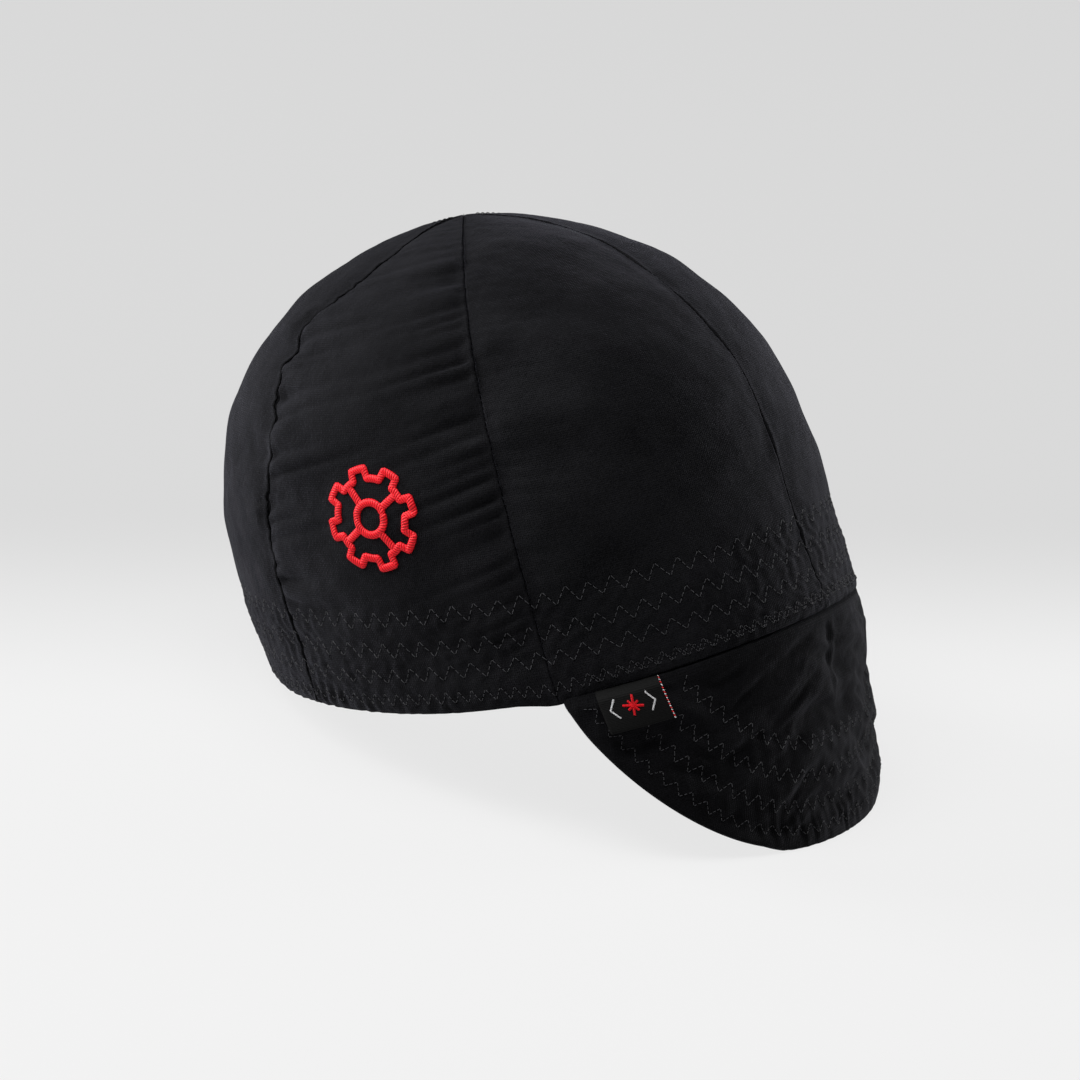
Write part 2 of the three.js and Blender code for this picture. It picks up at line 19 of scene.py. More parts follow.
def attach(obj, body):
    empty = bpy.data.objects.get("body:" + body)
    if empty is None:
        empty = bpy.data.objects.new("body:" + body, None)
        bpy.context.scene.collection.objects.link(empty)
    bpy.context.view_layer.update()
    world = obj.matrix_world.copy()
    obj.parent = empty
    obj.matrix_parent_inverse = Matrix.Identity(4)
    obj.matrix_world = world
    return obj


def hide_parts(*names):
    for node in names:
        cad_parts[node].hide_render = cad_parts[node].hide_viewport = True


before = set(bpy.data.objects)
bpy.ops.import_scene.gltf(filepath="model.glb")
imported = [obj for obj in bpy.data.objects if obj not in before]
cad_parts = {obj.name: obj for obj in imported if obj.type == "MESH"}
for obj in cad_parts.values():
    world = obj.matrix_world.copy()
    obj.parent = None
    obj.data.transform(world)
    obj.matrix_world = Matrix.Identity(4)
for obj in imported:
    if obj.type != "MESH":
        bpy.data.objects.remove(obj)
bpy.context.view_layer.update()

# %% [markdown]
# ## The crown as one smooth surface
#
# The crown could be sculpted by hand, but a formula keeps both halves true and lets stitches be laid
# on it later. Every point has two numbers: the angle round the head, from the front towards the
# wearer's right, and the rise, the share of cloth passed on the way from the rim to the top.

# %% Sizes of the crown
OPENING_LENGTH = 202
OPENING_WIDTH = 173
CROWN_HEIGHT = 145
TOP_SWEEP = 13
FRONT_RIM_RISE = 11
REAR_RIM_RISE = 7.3
SPREAD_POWER = 1.137
RISE_POWER = 0.683
SWEEP_RATE = 3
FRONT_FULLNESS = 0.04
FRONT_SWELL = 0.053
SIDE_SWELL = 0.087
REAR_SWELL = 0.053


def ease(value):
    """Smooth step from 0 to 1: three times the square less twice the cube."""
    t = np.clip(value, 0, 1)
    return t * t * (3 - 2 * t)


def mix(a, b, share):
    """Goes from a to b as share goes from 0 to 1."""
    return a + (b - a) * share


def bell(distance, width):
    """Bell curve: 1 in the middle, and falling off with the square of the distance."""
    return np.exp(-((distance / width) ** 2))


# %% The crown's formula
def crown_at_climb(angle, climb):
    """Point of the crown. Going round, x follows the sine of the angle and y its cosine. Going up,
    both shrink with a power of the cosine of the climb while z grows with a power of its sine, and
    the whole top is swept towards the rear."""
    front = np.maximum(np.cos(angle), 0) ** 2
    rear = np.maximum(-np.cos(angle), 0) ** 2
    side = 1 - front - rear
    swell = FRONT_SWELL * front + SIDE_SWELL * side + REAR_SWELL * rear
    spread = np.maximum(np.cos(climb), 0) ** SPREAD_POWER * (1 + swell * np.sin(2 * climb))
    rise = np.maximum(np.sin(climb), 0) ** RISE_POWER
    rim_rise = FRONT_RIM_RISE * front + REAR_RIM_RISE * rear
    half_width = OPENING_WIDTH / 2 * (1 + FRONT_FULLNESS * np.cos(angle))
    swept = (1 - np.exp(-SWEEP_RATE * rise)) / (1 - np.exp(-SWEEP_RATE))
    x = -half_width * np.sin(angle) * spread
    y = -OPENING_LENGTH / 2 * np.cos(angle) * spread + TOP_SWEEP * swept
    return np.stack([x, y, rim_rise * (1 - rise) + CROWN_HEIGHT * rise], axis=-1)


climb_steps = np.pi / 2 * np.linspace(0, 1, 601) ** 2
side_line = crown_at_climb(np.full(601, np.pi / 2), climb_steps)
side_lengths = np.concatenate([[0], np.cumsum(np.linalg.norm(np.diff(side_line, axis=0), axis=1))])
MERIDIAN_LENGTH = side_lengths[-1]
print("cloth from rim to top, mm:", round(MERIDIAN_LENGTH, 1))


# %% Points and directions on the crown
def unit(vectors):
    """Each vector divided by its own length."""
    return vectors / np.linalg.norm(vectors, axis=-1, keepdims=True)


def crown_point(angle, rise):
    """The crown's point at this angle, where rise is the share of cloth from the rim to the top."""
    climb = np.interp(np.clip(rise, 0, 1) * MERIDIAN_LENGTH, side_lengths, climb_steps)
    return crown_at_climb(angle, climb)


def crown_normal(angle, rise):
    """Outward direction: the step up the cloth crossed with the step round it."""
    step = 0.002
    up = crown_point(angle, np.minimum(rise + step, 1)) - crown_point(angle, np.maximum(rise - step, 0))
    round_step = crown_point(angle + step, rise) - crown_point(angle - step, rise)
    return unit(np.cross(up, round_step))


def crown_radius(angle, rise):
    """Millimetres of cloth for one radian round the crown."""
    step = 0.001
    ahead = crown_point(angle + step, rise)
    return np.linalg.norm(ahead - crown_point(angle - step, rise), axis=-1) / (2 * step)


# %% [markdown]
# ## Seams
#
# A sewn seam never runs quite straight. It could be a curve drawn by hand, but the panels on both
# sides have to follow it exactly, so it is a function of the rise that both of them call. Each row of
# a table says how far it has wandered off its meridian, as a share of a panel's width, and a smooth
# curve joins the rows. A little sine wander is added, because cloth is fed under the needle by hand,
# and the rear seam has one place where the cloth slipped and the line jogs to and fro, drawn as a few
# bell curves.

# %% Seam places
SEAM_ANGLES = {"front": 0, "side": 63.4, "rear": 118.1, "back": 180}
PANEL_WIDTH = OPENING_WIDTH / 2 * np.radians(SEAM_ANGLES["side"])
SEAM_WANDER = {"front": 0, "side": 0.12, "rear": 0.6, "back": 0}

# Where a jog is, how far it goes towards the rear in millimetres, and how long it is, as rises
rear_seam_jogs = [(0.664, 2.4, 0.022), (0.618, -3.2, 0.017), (0.583, 3, 0.021), (0.5, -1.6, 0.014)]

seam_drift = {
    "front": {"rise": [0, 0.2, 0.5, 0.6, 0.82, 1], "drift": [0.01, 0.022, -0.012, -0.005, -0.065, -0.03]},
    "side": {"rise": [0, 0.18, 0.62, 1], "drift": [0, -0.01, 0.012, 0]},
    "rear": {
        "rise": [0, 0.1, 0.25, 0.43, 0.56, 0.66, 0.79, 1],
        "drift": [0, -0.015, 0.005, -0.02, 0.025, 0.05, -0.05, 0],
    },
    "straight": {"rise": [0, 1], "drift": [0, 0]},
}


def read_smooth(table, column, rise):
    """Value of a column at this rise, eased between the two rows on either side."""
    stops = np.array(table["rise"], float)
    values = np.array(table[column], float)
    row = np.clip(np.searchsorted(stops, rise, side="left") - 1, 0, len(stops) - 2)
    share = ease((rise - stops[row]) / (stops[row + 1] - stops[row]))
    return mix(values[row], values[row + 1], share)


def seam_angle(place, drift, side, rise):
    """Angle of a seam at this rise: its own angle plus its wander over the radius there."""
    start = np.radians(SEAM_ANGLES[place])
    centred = side if drift == "front" else 1
    wander = SEAM_WANDER[place] * np.sin(rise * 137 + 1.6 * np.sin(rise * 31 + start) + start)
    wander = wander * ease((1 - rise) * 4) * ease((rise * MERIDIAN_LENGTH - 18) / 30)
    if drift == "rear":
        wander = wander + sum(far * bell(rise - at, size) for at, far, size in rear_seam_jogs)
    shift = centred * read_smooth(seam_drift[drift], "drift", rise) * PANEL_WIDTH + wander
    return start + shift / crown_radius(start, np.minimum(rise, 0.9))


# %% [markdown]
# ## Folds, puckers and the stitched band
#
# The frame's panels already bulge between the seams, dip at them and carry the main drag folds. Much
# the same tables are used here, so the cloth stays on its solid. Finer things are laid over them: a
# narrow groove where two panels meet, puckers that the seam thread pulls, ripples between the rows of
# zigzag, and the gathered hem.
#
# A cloth simulation could make folds too, but not the ones that this cap has. So each is a sine or a
# bell curve of a distance in millimetres, which puts it where it belongs and gives the same folds
# each time.

# %% Fold tables
BAND_HEIGHT = 33
PANEL_PUFF = 1.2
SEAM_DIP = 0.45
SEAM_DIP_WIDTH = 4
FOLD_HEIGHT = 1.6
FOLD_WIDTH = 5

FOLD_COLUMNS = ("across", "rise", "to_across", "to_rise", "height", "width")
side_panel_folds = [
    (0, 0.795, 0.75, 0.77, 0.7, 0.9),
    (0, 0.755, 0.5, 0.735, -0.7, 0.8),
    (0, 0.72, 0.7, 0.68, 0.8, 0.9),
    (0, 0.59, 0.5, 0.565, -1, 1),
    (0, 0.535, 0.25, 0.525, -0.6, 0.7),
    (0, 0.51, 0.45, 0.48, 0.8, 0.8),
    (0, 0.46, 0.32, 0.455, -0.6, 0.7),
    (0, 0.435, 0.35, 0.425, 0.6, 0.7),
    (0, 0.275, 0.3, 0.25, -0.7, 0.9),
    (1, 0.53, 0.7, 0.545, -0.8, 0.9),
    (1, 0.365, 0.68, 0.385, -0.7, 0.9),
    (1, 0.22, 0.6, 0.232, -0.65, 0.42),
    (1, 0.2, 0.5, 0.207, 0.4, 0.36),
    (1, 0.181, 0.4, 0.179, -0.65, 0.4),
]
front_panel_folds = [
    (1, 0.6, 0.55, 0.61, 0.6, 1),
    (1, 0.45, 0.4, 0.47, 0.6, 1.1),
    (1, 0.39, 0.6, 0.4, -0.5, 1),
    (0, 0.3, 0.3, 0.27, -0.5, 1.1),
]
rear_panel_folds = [
    (0, 0.68, 0.5, 0.64, 0.8, 1.1),
    (0, 0.44, 0.5, 0.42, -0.8, 1.1),
    (0, 0.33, 0.4, 0.3, 0.6, 1),
    (1, 0.52, 0.55, 0.49, -0.8, 1.1),
    (1, 0.27, 0.6, 0.24, -0.6, 1),
]


# %% One fold, and the ripples of a sewn edge
def distance_to_line(x, y, start, end):
    """Distance from each point to a straight piece of line, and the share of it passed there."""
    run_x, run_y = end[0] - start[0], end[1] - start[1]
    along = ((x - start[0]) * run_x + (y - start[1]) * run_y) / (run_x**2 + run_y**2)
    along = np.clip(along, 0, 1)
    return np.hypot(x - start[0] - run_x * along, y - start[1] - run_y * along), along


def fold_relief(row, across, rise, width):
    """A ridge or valley along a line that starts at a seam: a bell curve across it, fading along."""
    fold = dict(zip(FOLD_COLUMNS, row))
    wide = np.maximum(width, 1)
    start = fold["across"] * wide, fold["rise"] * MERIDIAN_LENGTH
    end = fold["to_across"] * wide, fold["to_rise"] * MERIDIAN_LENGTH
    away, along = distance_to_line(across * wide, rise * MERIDIAN_LENGTH, start, end)
    return fold["height"] * FOLD_HEIGHT * (1 - ease(along)) * bell(away, fold["width"] * FOLD_WIDTH)


def waves(a, b, rows):
    """Sum of slow sine waves over two coordinates; a row is (height, per a, per b, start)."""
    return sum(height * np.sin(a * per_a + b * per_b + start) for height, per_a, per_b, start in rows)


# %% [markdown]
# The rows of zigzag go round the whole rim, over the seams, so they need one distance that runs all
# the way round. It is measured along the band once, and looked up from the angle.

# %% Distance round the rim
ring_angles = np.radians(np.linspace(-180, 180, 1441))
ring = crown_point(np.abs(ring_angles), np.full(1441, BAND_HEIGHT / 2 / MERIDIAN_LENGTH))
ring = ring * np.stack([np.sign(ring_angles + 1e-9), np.ones(1441), np.ones(1441)], axis=-1)
ring_lengths = np.concatenate([[0], np.cumsum(np.linalg.norm(np.diff(ring, axis=0), axis=1))])
BAND_LENGTH = ring_lengths[-1]
print("length of the stitched band, mm:", round(BAND_LENGTH, 1))

# %% Rows of zigzag
# Height above the rim, height of the zigzag, and how many zigzags go round the cap
ZIGZAG_ROWS = [
    {"up": 31.6, "tall": 5.4, "count": 82},
    {"up": 21.7, "tall": 5.4, "count": 82},
    {"up": 13.1, "tall": 5, "count": 82},
    {"up": 4.8, "tall": 3.8, "count": 126, "radius": 0.085},
]

# Over the brim the hem is sewn twice, which doubles the last row there
FRONT_HEM_ROW = {"up": 4.2, "tall": 3, "count": 126, "from": 92, "radius": 0.075}


def zigzag_up(row, rim_distance):
    """Middle height of a row of zigzag: level, with a slow hand-made waver."""
    return row["up"] + 0.35 * np.sin(rim_distance / 29 + row["up"]) + 0.2 * np.sin(rim_distance / 11)


# %% Relief of the stitched band
ROW_DIP, ROW_DIP_WIDTH = 0.32, 2.4
ROW_RIPPLE, ROW_RIPPLE_WIDTH = 0.2, 4.2
HEM_GATHER, HEM_GATHER_UP, HEM_GATHER_WIDTH = 0.34, 4.2, 3.6


def band_relief(rim_distance, up):
    """Stitched band: a dip along each row of zigzag, ripples that the thread pulls on both sides of
    it, and short deep gathers at the hem."""
    total = np.zeros_like(up)
    for row in ZIGZAG_ROWS:
        away = up - zigzag_up(row, rim_distance)
        pull = 0.75 + 0.25 * np.sin(rim_distance / 17 + row["up"])
        total -= ROW_DIP * bell(away, ROW_DIP_WIDTH) * pull
        turn = rim_distance * 2 * np.pi * row["count"] / BAND_LENGTH
        total += ROW_RIPPLE * np.sin(turn + away * 0.5) * bell(away, ROW_RIPPLE_WIDTH) * (1.7 * pull - 0.85)
    gather = np.sin(rim_distance * 1.23 + 2.1 * np.sin(rim_distance * 0.217) + up * 0.2)
    gather += 0.6 * np.sin(rim_distance * 1.91 + 1.7 * np.sin(rim_distance * 0.331) - up * 0.3)
    strength = 0.5 + 0.5 * np.sin(rim_distance * 0.093 + 1) * np.sin(rim_distance * 0.041)
    total += HEM_GATHER * gather * strength * bell(up - HEM_GATHER_UP, HEM_GATHER_WIDTH)
    in_band = ease((BAND_HEIGHT + 3 - up) / 6)
    total += in_band * waves(rim_distance + 2 * np.sin(up * 0.4), up + np.sin(rim_distance * 0.27), [
        (0.11, 0.83, 0.95, 0.3), (0.11, -1.07, 0.62, 1.4), (0.09, 1.43, -0.57, 2.2), (0.07, 0.51, 1.61, 0.9),
    ])
    return total


# %% Puckers along a seam
def narrow_valleys(turn):
    """A sine wave with rounder ridges and narrower valleys, as cloth makes when it is pushed together."""
    return np.sin(turn) + 0.3 * np.cos(2 * turn)


SEAM_VALLEY = {"depth": 1.3, "up": 82, "tall": 36}


def seam_valley(panel, distances, up):
    """The side seam is pulled in half way up, so the cloth sinks towards it from both sides: a bell
    curve of the distance, as wide as the panel's "valley" says at its first and at its last seam."""
    total = np.zeros_like(up)
    for reach, distance in zip(panel.get("valley", (0, 0)), distances):
        if reach:
            total += SEAM_VALLEY["depth"] * bell(distance, reach)
    return total * bell(up - SEAM_VALLEY["up"], SEAM_VALLEY["tall"])


PUCKERS = {"up": 78, "tall": 46, "flat_next_to_seam": 2.5}
FINE_PUCKER, FINE_REACH = 0.16, 8


def seam_puckers(panel, across, up, width):
    """Small drag lines that leave each seam nearly square to it. Up the seam they are waves of two
    lengths, 6 to 9 mm and about 4 mm, strongest half way up, and they fade into the panel."""
    total = np.zeros_like(up)
    for seam, share in ((0, across), (1, 1 - across)):
        distance = np.maximum(share * width, 0)
        key = panel["key"] * 1.7 + seam * 2.3
        slant = up + distance * panel["slant"][seam]
        strength = 0.62 + 0.38 * np.sin(up * 0.213 + key) * np.sin(up * 0.071 + 2 * key)
        middle = 0.35 + 0.65 * bell(up - PUCKERS["up"], PUCKERS["tall"])
        uneven = 1.9 * np.sin(slant * 0.117 + key) + 0.9 * np.sin(slant * 0.37 + 2.6 * key)
        long_wave = narrow_valleys(slant * panel["wave"][seam] + uneven + key)
        short_wave = np.sin(slant * 1.57 + 1.9 * np.sin(slant * 0.271 + key) + distance * 0.1)
        size = panel["pucker"][seam] * strength * middle
        reach = panel["drag"][seam] * (0.95 + 0.45 * np.sin(slant * 0.29 + 1.9 * key))
        from_seam = 1 - 0.75 * bell(distance, PUCKERS["flat_next_to_seam"])
        total += size * long_wave * from_seam * np.exp(-((distance / reach) ** 1.3))
        fine = FINE_PUCKER * panel["fine"][seam] * (1.3 - strength)
        total += fine * short_wave * np.exp(-distance / FINE_REACH)
    return total


# %% Height of a panel's cloth over the smooth crown
GROOVE_WIDTH = 0.3
SEAM_STEP, SEAM_STEP_WIDTH = 0.3, 2


def panel_relief(panel, across, rise, width, signed_angle):
    """Puff between seams, dip and groove at them, drag folds, seam puckers and the stitched band."""
    to_seam = np.minimum(across, 1 - across) * width
    up = rise * MERIDIAN_LENGTH
    wide = np.minimum(1, width / (PANEL_WIDTH / 2))
    above_band = ease(up / BAND_HEIGHT)
    puff = PANEL_PUFF * (np.sin(np.pi * across) - 0.6) * wide * above_band
    dip = SEAM_DIP * bell(to_seam, SEAM_DIP_WIDTH) * wide * above_band
    folds = sum(fold_relief(row, across, rise, width) for row in panel["folds"])
    folds = folds * ease(to_seam / FOLD_WIDTH) * wide * above_band
    depth = np.where(across < 0.5, *panel["groove"]) * (0.6 + 0.4 * above_band)
    groove = depth * bell(to_seam, GROOVE_WIDTH) * (0.35 + 0.65 * wide)
    lap = SEAM_STEP * bell(to_seam, SEAM_STEP_WIDTH) * (across < 0.5)
    pucker = seam_puckers(panel, across, up, width)
    drape = waves(across * width, up, [
        (0.22, 0.055, 0.16, panel["key"]),
        (0.16, -0.09, 0.21, 2.2 * panel["key"]),
        (0.1, 0.21, 0.35, 1.3 * panel["key"]),
        (0.06, 0.47, -0.24, 0.7 * panel["key"]),
    ])
    rim_distance = np.interp(signed_angle, ring_angles, ring_lengths)
    band = band_relief(rim_distance, up)
    loose = (pucker + drape) * wide * (0.25 + 0.75 * above_band)
    sunk = seam_valley(panel, (across * width, (1 - across) * width), up)
    return puff - dip - sunk - groove + lap + folds + loose + band


# %% [markdown]
# ## Panels
#
# Every panel lies between two seams. The crown could be one grid with six materials, but a panel with
# its own grid has its edges on the seams, whichever way they wander, and can be thick, turned and
# lapped as cut cloth is. A point is given by the share across it and the rise, then pushed out by the
# relief. The wall is the real cloth: thin above, and three layers thick in the band. Both layers meet
# in a rounded edge at the hem, where the cloth is turned under.

# %% Panels and their walls
CLOTH_THICKNESS = 1.3
BAND_THICKNESS = 2.2
PANEL_GAP = 0.02
TOP_CLEARANCE = 0.2

PANELS = [
    {"name": "front_right", "side": 1, "from": ("front", "front"), "to": ("side", "side"),
     "folds": front_panel_folds, "key": 1.0, "columns": 118,
     "pucker": (0.16, 0.26), "wave": (0.7, 1.08), "drag": (14, 17), "slant": (0.05, 0.1),
     "fine": (0.6, 0.8), "groove": (0.4, 0.65), "valley": (0, 5)},
    {"name": "side_right", "side": 1, "from": ("side", "side"), "to": ("rear", "rear"),
     "folds": side_panel_folds, "key": 2.0, "columns": 118,
     "pucker": (1.05, 1.5), "wave": (1.08, 0.8), "drag": (21, 19), "slant": (0.25, -0.2),
     "fine": (1, 1), "groove": (0.65, 0.9), "valley": (9, 0)},
    {"name": "rear_right", "side": 1, "from": ("rear", "rear"), "to": ("back", "straight"),
     "folds": rear_panel_folds, "key": 3.0, "columns": 110,
     "pucker": (0.6, 0.25), "wave": (0.8, 0.7), "drag": (14, 12), "slant": (0.1, 0.0),
     "fine": (1.6, 0.8), "groove": (0.9, 0.5)},
    {"name": "front_left", "side": -1, "from": ("front", "front"), "to": ("side", "straight"),
     "folds": front_panel_folds, "key": 4.0, "columns": 110,
     "pucker": (0.22, 0.2), "wave": (0.7, 0.9), "drag": (16, 16), "slant": (0.1, 0.1),
     "fine": (0.8, 0.8), "groove": (0.4, 0.5)},
    {"name": "side_left", "side": -1, "from": ("side", "straight"), "to": ("rear", "straight"),
     "folds": rear_panel_folds, "key": 5.0, "columns": 92,
     "pucker": (0.36, 0.34), "wave": (0.95, 0.8), "drag": (20, 18), "slant": (0.1, 0.05),
     "fine": (0.8, 0.8), "groove": (0.5, 0.6)},
    {"name": "rear_left", "side": -1, "from": ("rear", "straight"), "to": ("back", "straight"),
     "folds": rear_panel_folds, "key": 6.0, "columns": 92,
     "pucker": (0.3, 0.15), "wave": (0.8, 0.7), "drag": (18, 12), "slant": (0.1, 0.0),
     "fine": (0.8, 0.8), "groove": (0.6, 0.5)},
]


# %% Where the cloth of a panel lies
def panel_edges(panel, rise):
    """Angles of the two seams of a panel at this rise."""
    first = seam_angle(*panel["from"], panel["side"], rise)
    last = seam_angle(*panel["to"], panel["side"], rise)
    return first, last


# Where the hem hangs lower, as an angle from the front and a width, in degrees, and how far, in mm
hem_drops = [{"at": 64, "wide": 5, "far": 1.9}, {"at": 139, "wide": 17, "far": 1.1}]
HEM_DROP = 0.2
HEM_DROP_FADE = 12


def hem_drop(angle, rise):
    """How far the hem hangs below the smooth rim: a little all round, more beside the brim's end and
    at the rear corner, where it has stretched. It fades out a little way up."""
    turn = np.degrees(angle)
    drop = HEM_DROP + sum(row["far"] * bell(turn - row["at"], row["wide"]) for row in hem_drops)
    return drop * (1 - ease(rise * MERIDIAN_LENGTH / HEM_DROP_FADE))


def panel_point(panel, across, rise, height):
    """Point height millimetres over the cloth of a panel, at this share across and this rise."""
    first, last = panel_edges(panel, rise)
    middle_radius = crown_radius((first + last) / 2, rise)
    width = (last - first) * middle_radius
    inset = PANEL_GAP / 2 / np.maximum(middle_radius, 0.2)
    angle = mix(first + inset, last - inset, across)
    relief = panel_relief(panel, across, rise, width, panel["side"] * angle)
    point = crown_point(angle, rise) + crown_normal(angle, rise) * (relief + height)[..., None]
    point[..., 2] -= hem_drop(angle, rise)
    return point * np.array([panel["side"], 1, 1])


def wall_thickness(rise):
    """Thick in the band, easing to single cloth above it."""
    up = rise * MERIDIAN_LENGTH
    return mix(BAND_THICKNESS, CLOTH_THICKNESS, ease((up - BAND_HEIGHT) / FOLD_WIDTH))


EDGE_THICKNESS = 0.12


def edge_inset(distance, thickness):
    """How far each layer draws in near a turned edge: a quarter circle half the wall deep, which
    leaves a thin flat at the very edge."""
    radius = thickness / 2
    left = np.clip(1 - distance / radius, 0, 1)
    return (radius - EDGE_THICKNESS / 2) * (1 - np.sqrt(1 - left**2))


# %% [markdown]
# ## Lying on a table
#
# The cap lies on the edge of its brim and on the hem at its back, so it leans back by the angle at
# which both touch. The angle is found by halving, as the frame's solids do it. Cloth that is
# less than a stitch's height over the table is pressed flat.

# %% Brim sizes, needed to find the lean
BRIM_DEPTH = 73.5
BRIM_THICKNESS = 2.2
BRIM_TUCK = 8
BRIM_CLEARANCE = 0.35
BRIM_EMERGE = 4.5
BRIM_DROOP = 93.5
BRIM_DROOP_EASE = 7.3
BRIM_END_LIFT = 16.8
BRIM_FAN = 1.165
BRIM_TAPER_POWER = 2.5
BRIM_CREASE = 1.6
BRIM_CREASE_WIDTH = 6
BRIM_SPAN = PANEL_WIDTH
SETTLE = 0.8

# A crease runs from one place and share of the depth to another; a valley's height is below zero
brim_creases = [
    {"start": (0, 0), "end": (-0.05, 0.4), "height": -0.8},
    {"start": (0.56, 0.26), "end": (0.37, 0.3), "height": -0.8},
    {"start": (0.3, 0.42), "end": (-0.05, 0.46), "height": -1},
    {"start": (0.3, 0.52), "end": (-0.05, 0.56), "height": 0.5},
]


# %% The brim's formula
def brim_reach(place):
    """Depth of the brim: full at the middle, tapering to nothing at both ends."""
    return BRIM_DEPTH * np.maximum(1 - np.abs(place) ** BRIM_TAPER_POWER, 0)


def brim_direction(place):
    """The way the brim hangs: mostly down, and a little out from the rim, which it fans round."""
    turn = BRIM_FAN * np.radians(SEAM_ANGLES["side"]) * place
    outward = np.stack([-np.sin(turn) / OPENING_WIDTH, -np.cos(turn) / OPENING_LENGTH], axis=-1)
    outward = unit(outward)
    droop = np.radians(BRIM_DROOP - BRIM_DROOP_EASE * place**2 - BRIM_END_LIFT * place**4)
    return np.concatenate([outward * np.cos(droop)[..., None], -np.sin(droop)[..., None]], axis=-1)


def brim_outer(place, reach):
    """Smooth outer face of the brim. It starts behind the band and comes forward from the rim along
    its own direction, and above the rim it follows the inside of the band."""
    angle = np.radians(SEAM_ANGLES["side"]) * place
    tucked = BAND_THICKNESS + BRIM_CLEARANCE
    rise = np.maximum(-reach, 0) / MERIDIAN_LENGTH
    inset = tucked * (1 - ease(reach / BRIM_EMERGE))
    point = crown_point(angle, rise) - crown_normal(angle, rise) * inset[..., None]
    return point + brim_direction(place) * np.maximum(reach, 0)[..., None]


def brim_normal(place, reach):
    """Outward direction: the step along the brim crossed with the step down it."""
    step = 0.004
    span = brim_outer(place + step, reach) - brim_outer(place - step, reach)
    return unit(np.cross(span, brim_outer(place, reach + 1) - brim_outer(place, reach - 1)))


def crease_relief(place, reach):
    """The brim's creases: bell-shaped valleys and one ridge along short lines."""
    total = np.zeros_like(reach)
    for crease in brim_creases:
        start = (crease["start"][0] * BRIM_SPAN, crease["start"][1] * BRIM_DEPTH)
        end = (crease["end"][0] * BRIM_SPAN, crease["end"][1] * BRIM_DEPTH)
        away, _ = distance_to_line(place * BRIM_SPAN, reach, start, end)
        total += crease["height"] * BRIM_CREASE * bell(away, BRIM_CREASE_WIDTH)
    return total * ease(reach / BRIM_CREASE_WIDTH)


# %% The lean
REST_SHIFT = -6.987


def tipped_height(points, tilt):
    """Height of points of the upright cap once it is tipped back."""
    return points[..., 2] * np.cos(tilt) - points[..., 1] * np.sin(tilt)


edge_place = np.linspace(-0.5, 0.5, 81)
edge_reach = brim_reach(edge_place)
edge_lift = crease_relief(edge_place, edge_reach)[:, None]
brim_edge = brim_outer(edge_place, edge_reach) + brim_normal(edge_place, edge_reach) * edge_lift
rear_hem = crown_point(np.radians(np.linspace(140, 220, 81)), np.zeros(81))
low, high = 0, np.pi / 3
for _ in range(50):
    middle = (low + high) / 2
    if tipped_height(brim_edge, middle).min() < tipped_height(rear_hem, middle).min():
        low = middle
    else:
        high = middle
REST_TILT = low
FLOOR_HEIGHT = min(tipped_height(brim_edge, REST_TILT).min(), tipped_height(rear_hem, REST_TILT).min())
print("the cap leans back, degrees:", round(np.degrees(REST_TILT), 2))


def laid_down(points):
    """Upright millimetres to metres on the table, with the lowest cloth pressed flat: the first
    SETTLE of height is taken off, and the next two stretched by half, so that they meet the rest."""
    height = tipped_height(points, REST_TILT) - FLOOR_HEIGHT
    back = points[..., 1] * np.cos(REST_TILT) + points[..., 2] * np.sin(REST_TILT) + REST_SHIFT
    pressed = np.where(height > 3 * SETTLE, height, np.maximum(height - SETTLE, 0) * 1.5)
    return np.stack([points[..., 0], back, pressed], axis=-1) / 1000


# %% [markdown]
# ## From grids to closed cloth
#
# A wall of cloth is two grids of points, the outer and the inner layer, with a narrow strip round all
# four edges. A Solidify modifier could add the inner layer, but it would have the same thickness
# everywhere, and here it changes at the band and at the hem. The faces are index arithmetic on whole
# arrays. If the closed shell's volume comes out below zero it is inside out, and all its faces are
# turned.

# %% Mesh from a grid
CLOTH_UNIT = 100


def signed_volume(points, faces):
    """Volume of a closed mesh of quads, by the sum of the corner products of their triangles."""
    a, b, c, d = (points[faces[:, k]] for k in range(4))
    return (np.cross(b - a, c - a) * a).sum() + (np.cross(c - a, d - a) * a).sum()


def wall_faces(rows, columns):
    """Quads of two layers of rows by columns points and of the strip round their edges."""
    index = np.arange(2 * rows * columns).reshape(2, rows, columns)
    outer = np.stack([index[0, :-1, :-1], index[0, :-1, 1:], index[0, 1:, 1:], index[0, 1:, :-1]], -1)
    inner = np.stack([index[1, :-1, :-1], index[1, 1:, :-1], index[1, 1:, 1:], index[1, :-1, 1:]], -1)
    loop = np.concatenate([index[:, 0, :-1], index[:, :-1, -1], index[:, -1, :0:-1], index[:, :0:-1, 0]], 1)
    turned = np.roll(loop, -1, axis=1)
    strip = np.stack([loop[0], loop[1], turned[1], turned[0]], -1)
    return np.concatenate([outer.reshape(-1, 4), inner.reshape(-1, 4), strip])


def add_piece(name, points, faces, material):
    """A smooth mesh object of one material, at the origin."""
    mesh = bpy.data.meshes.new(name)
    mesh.from_pydata(points.tolist(), [], faces)
    mesh.polygons.foreach_set("use_smooth", np.ones(len(faces), bool))
    mesh.materials.append(material)
    made = bpy.data.objects.new(name, mesh)
    bpy.context.collection.objects.link(made)
    return made


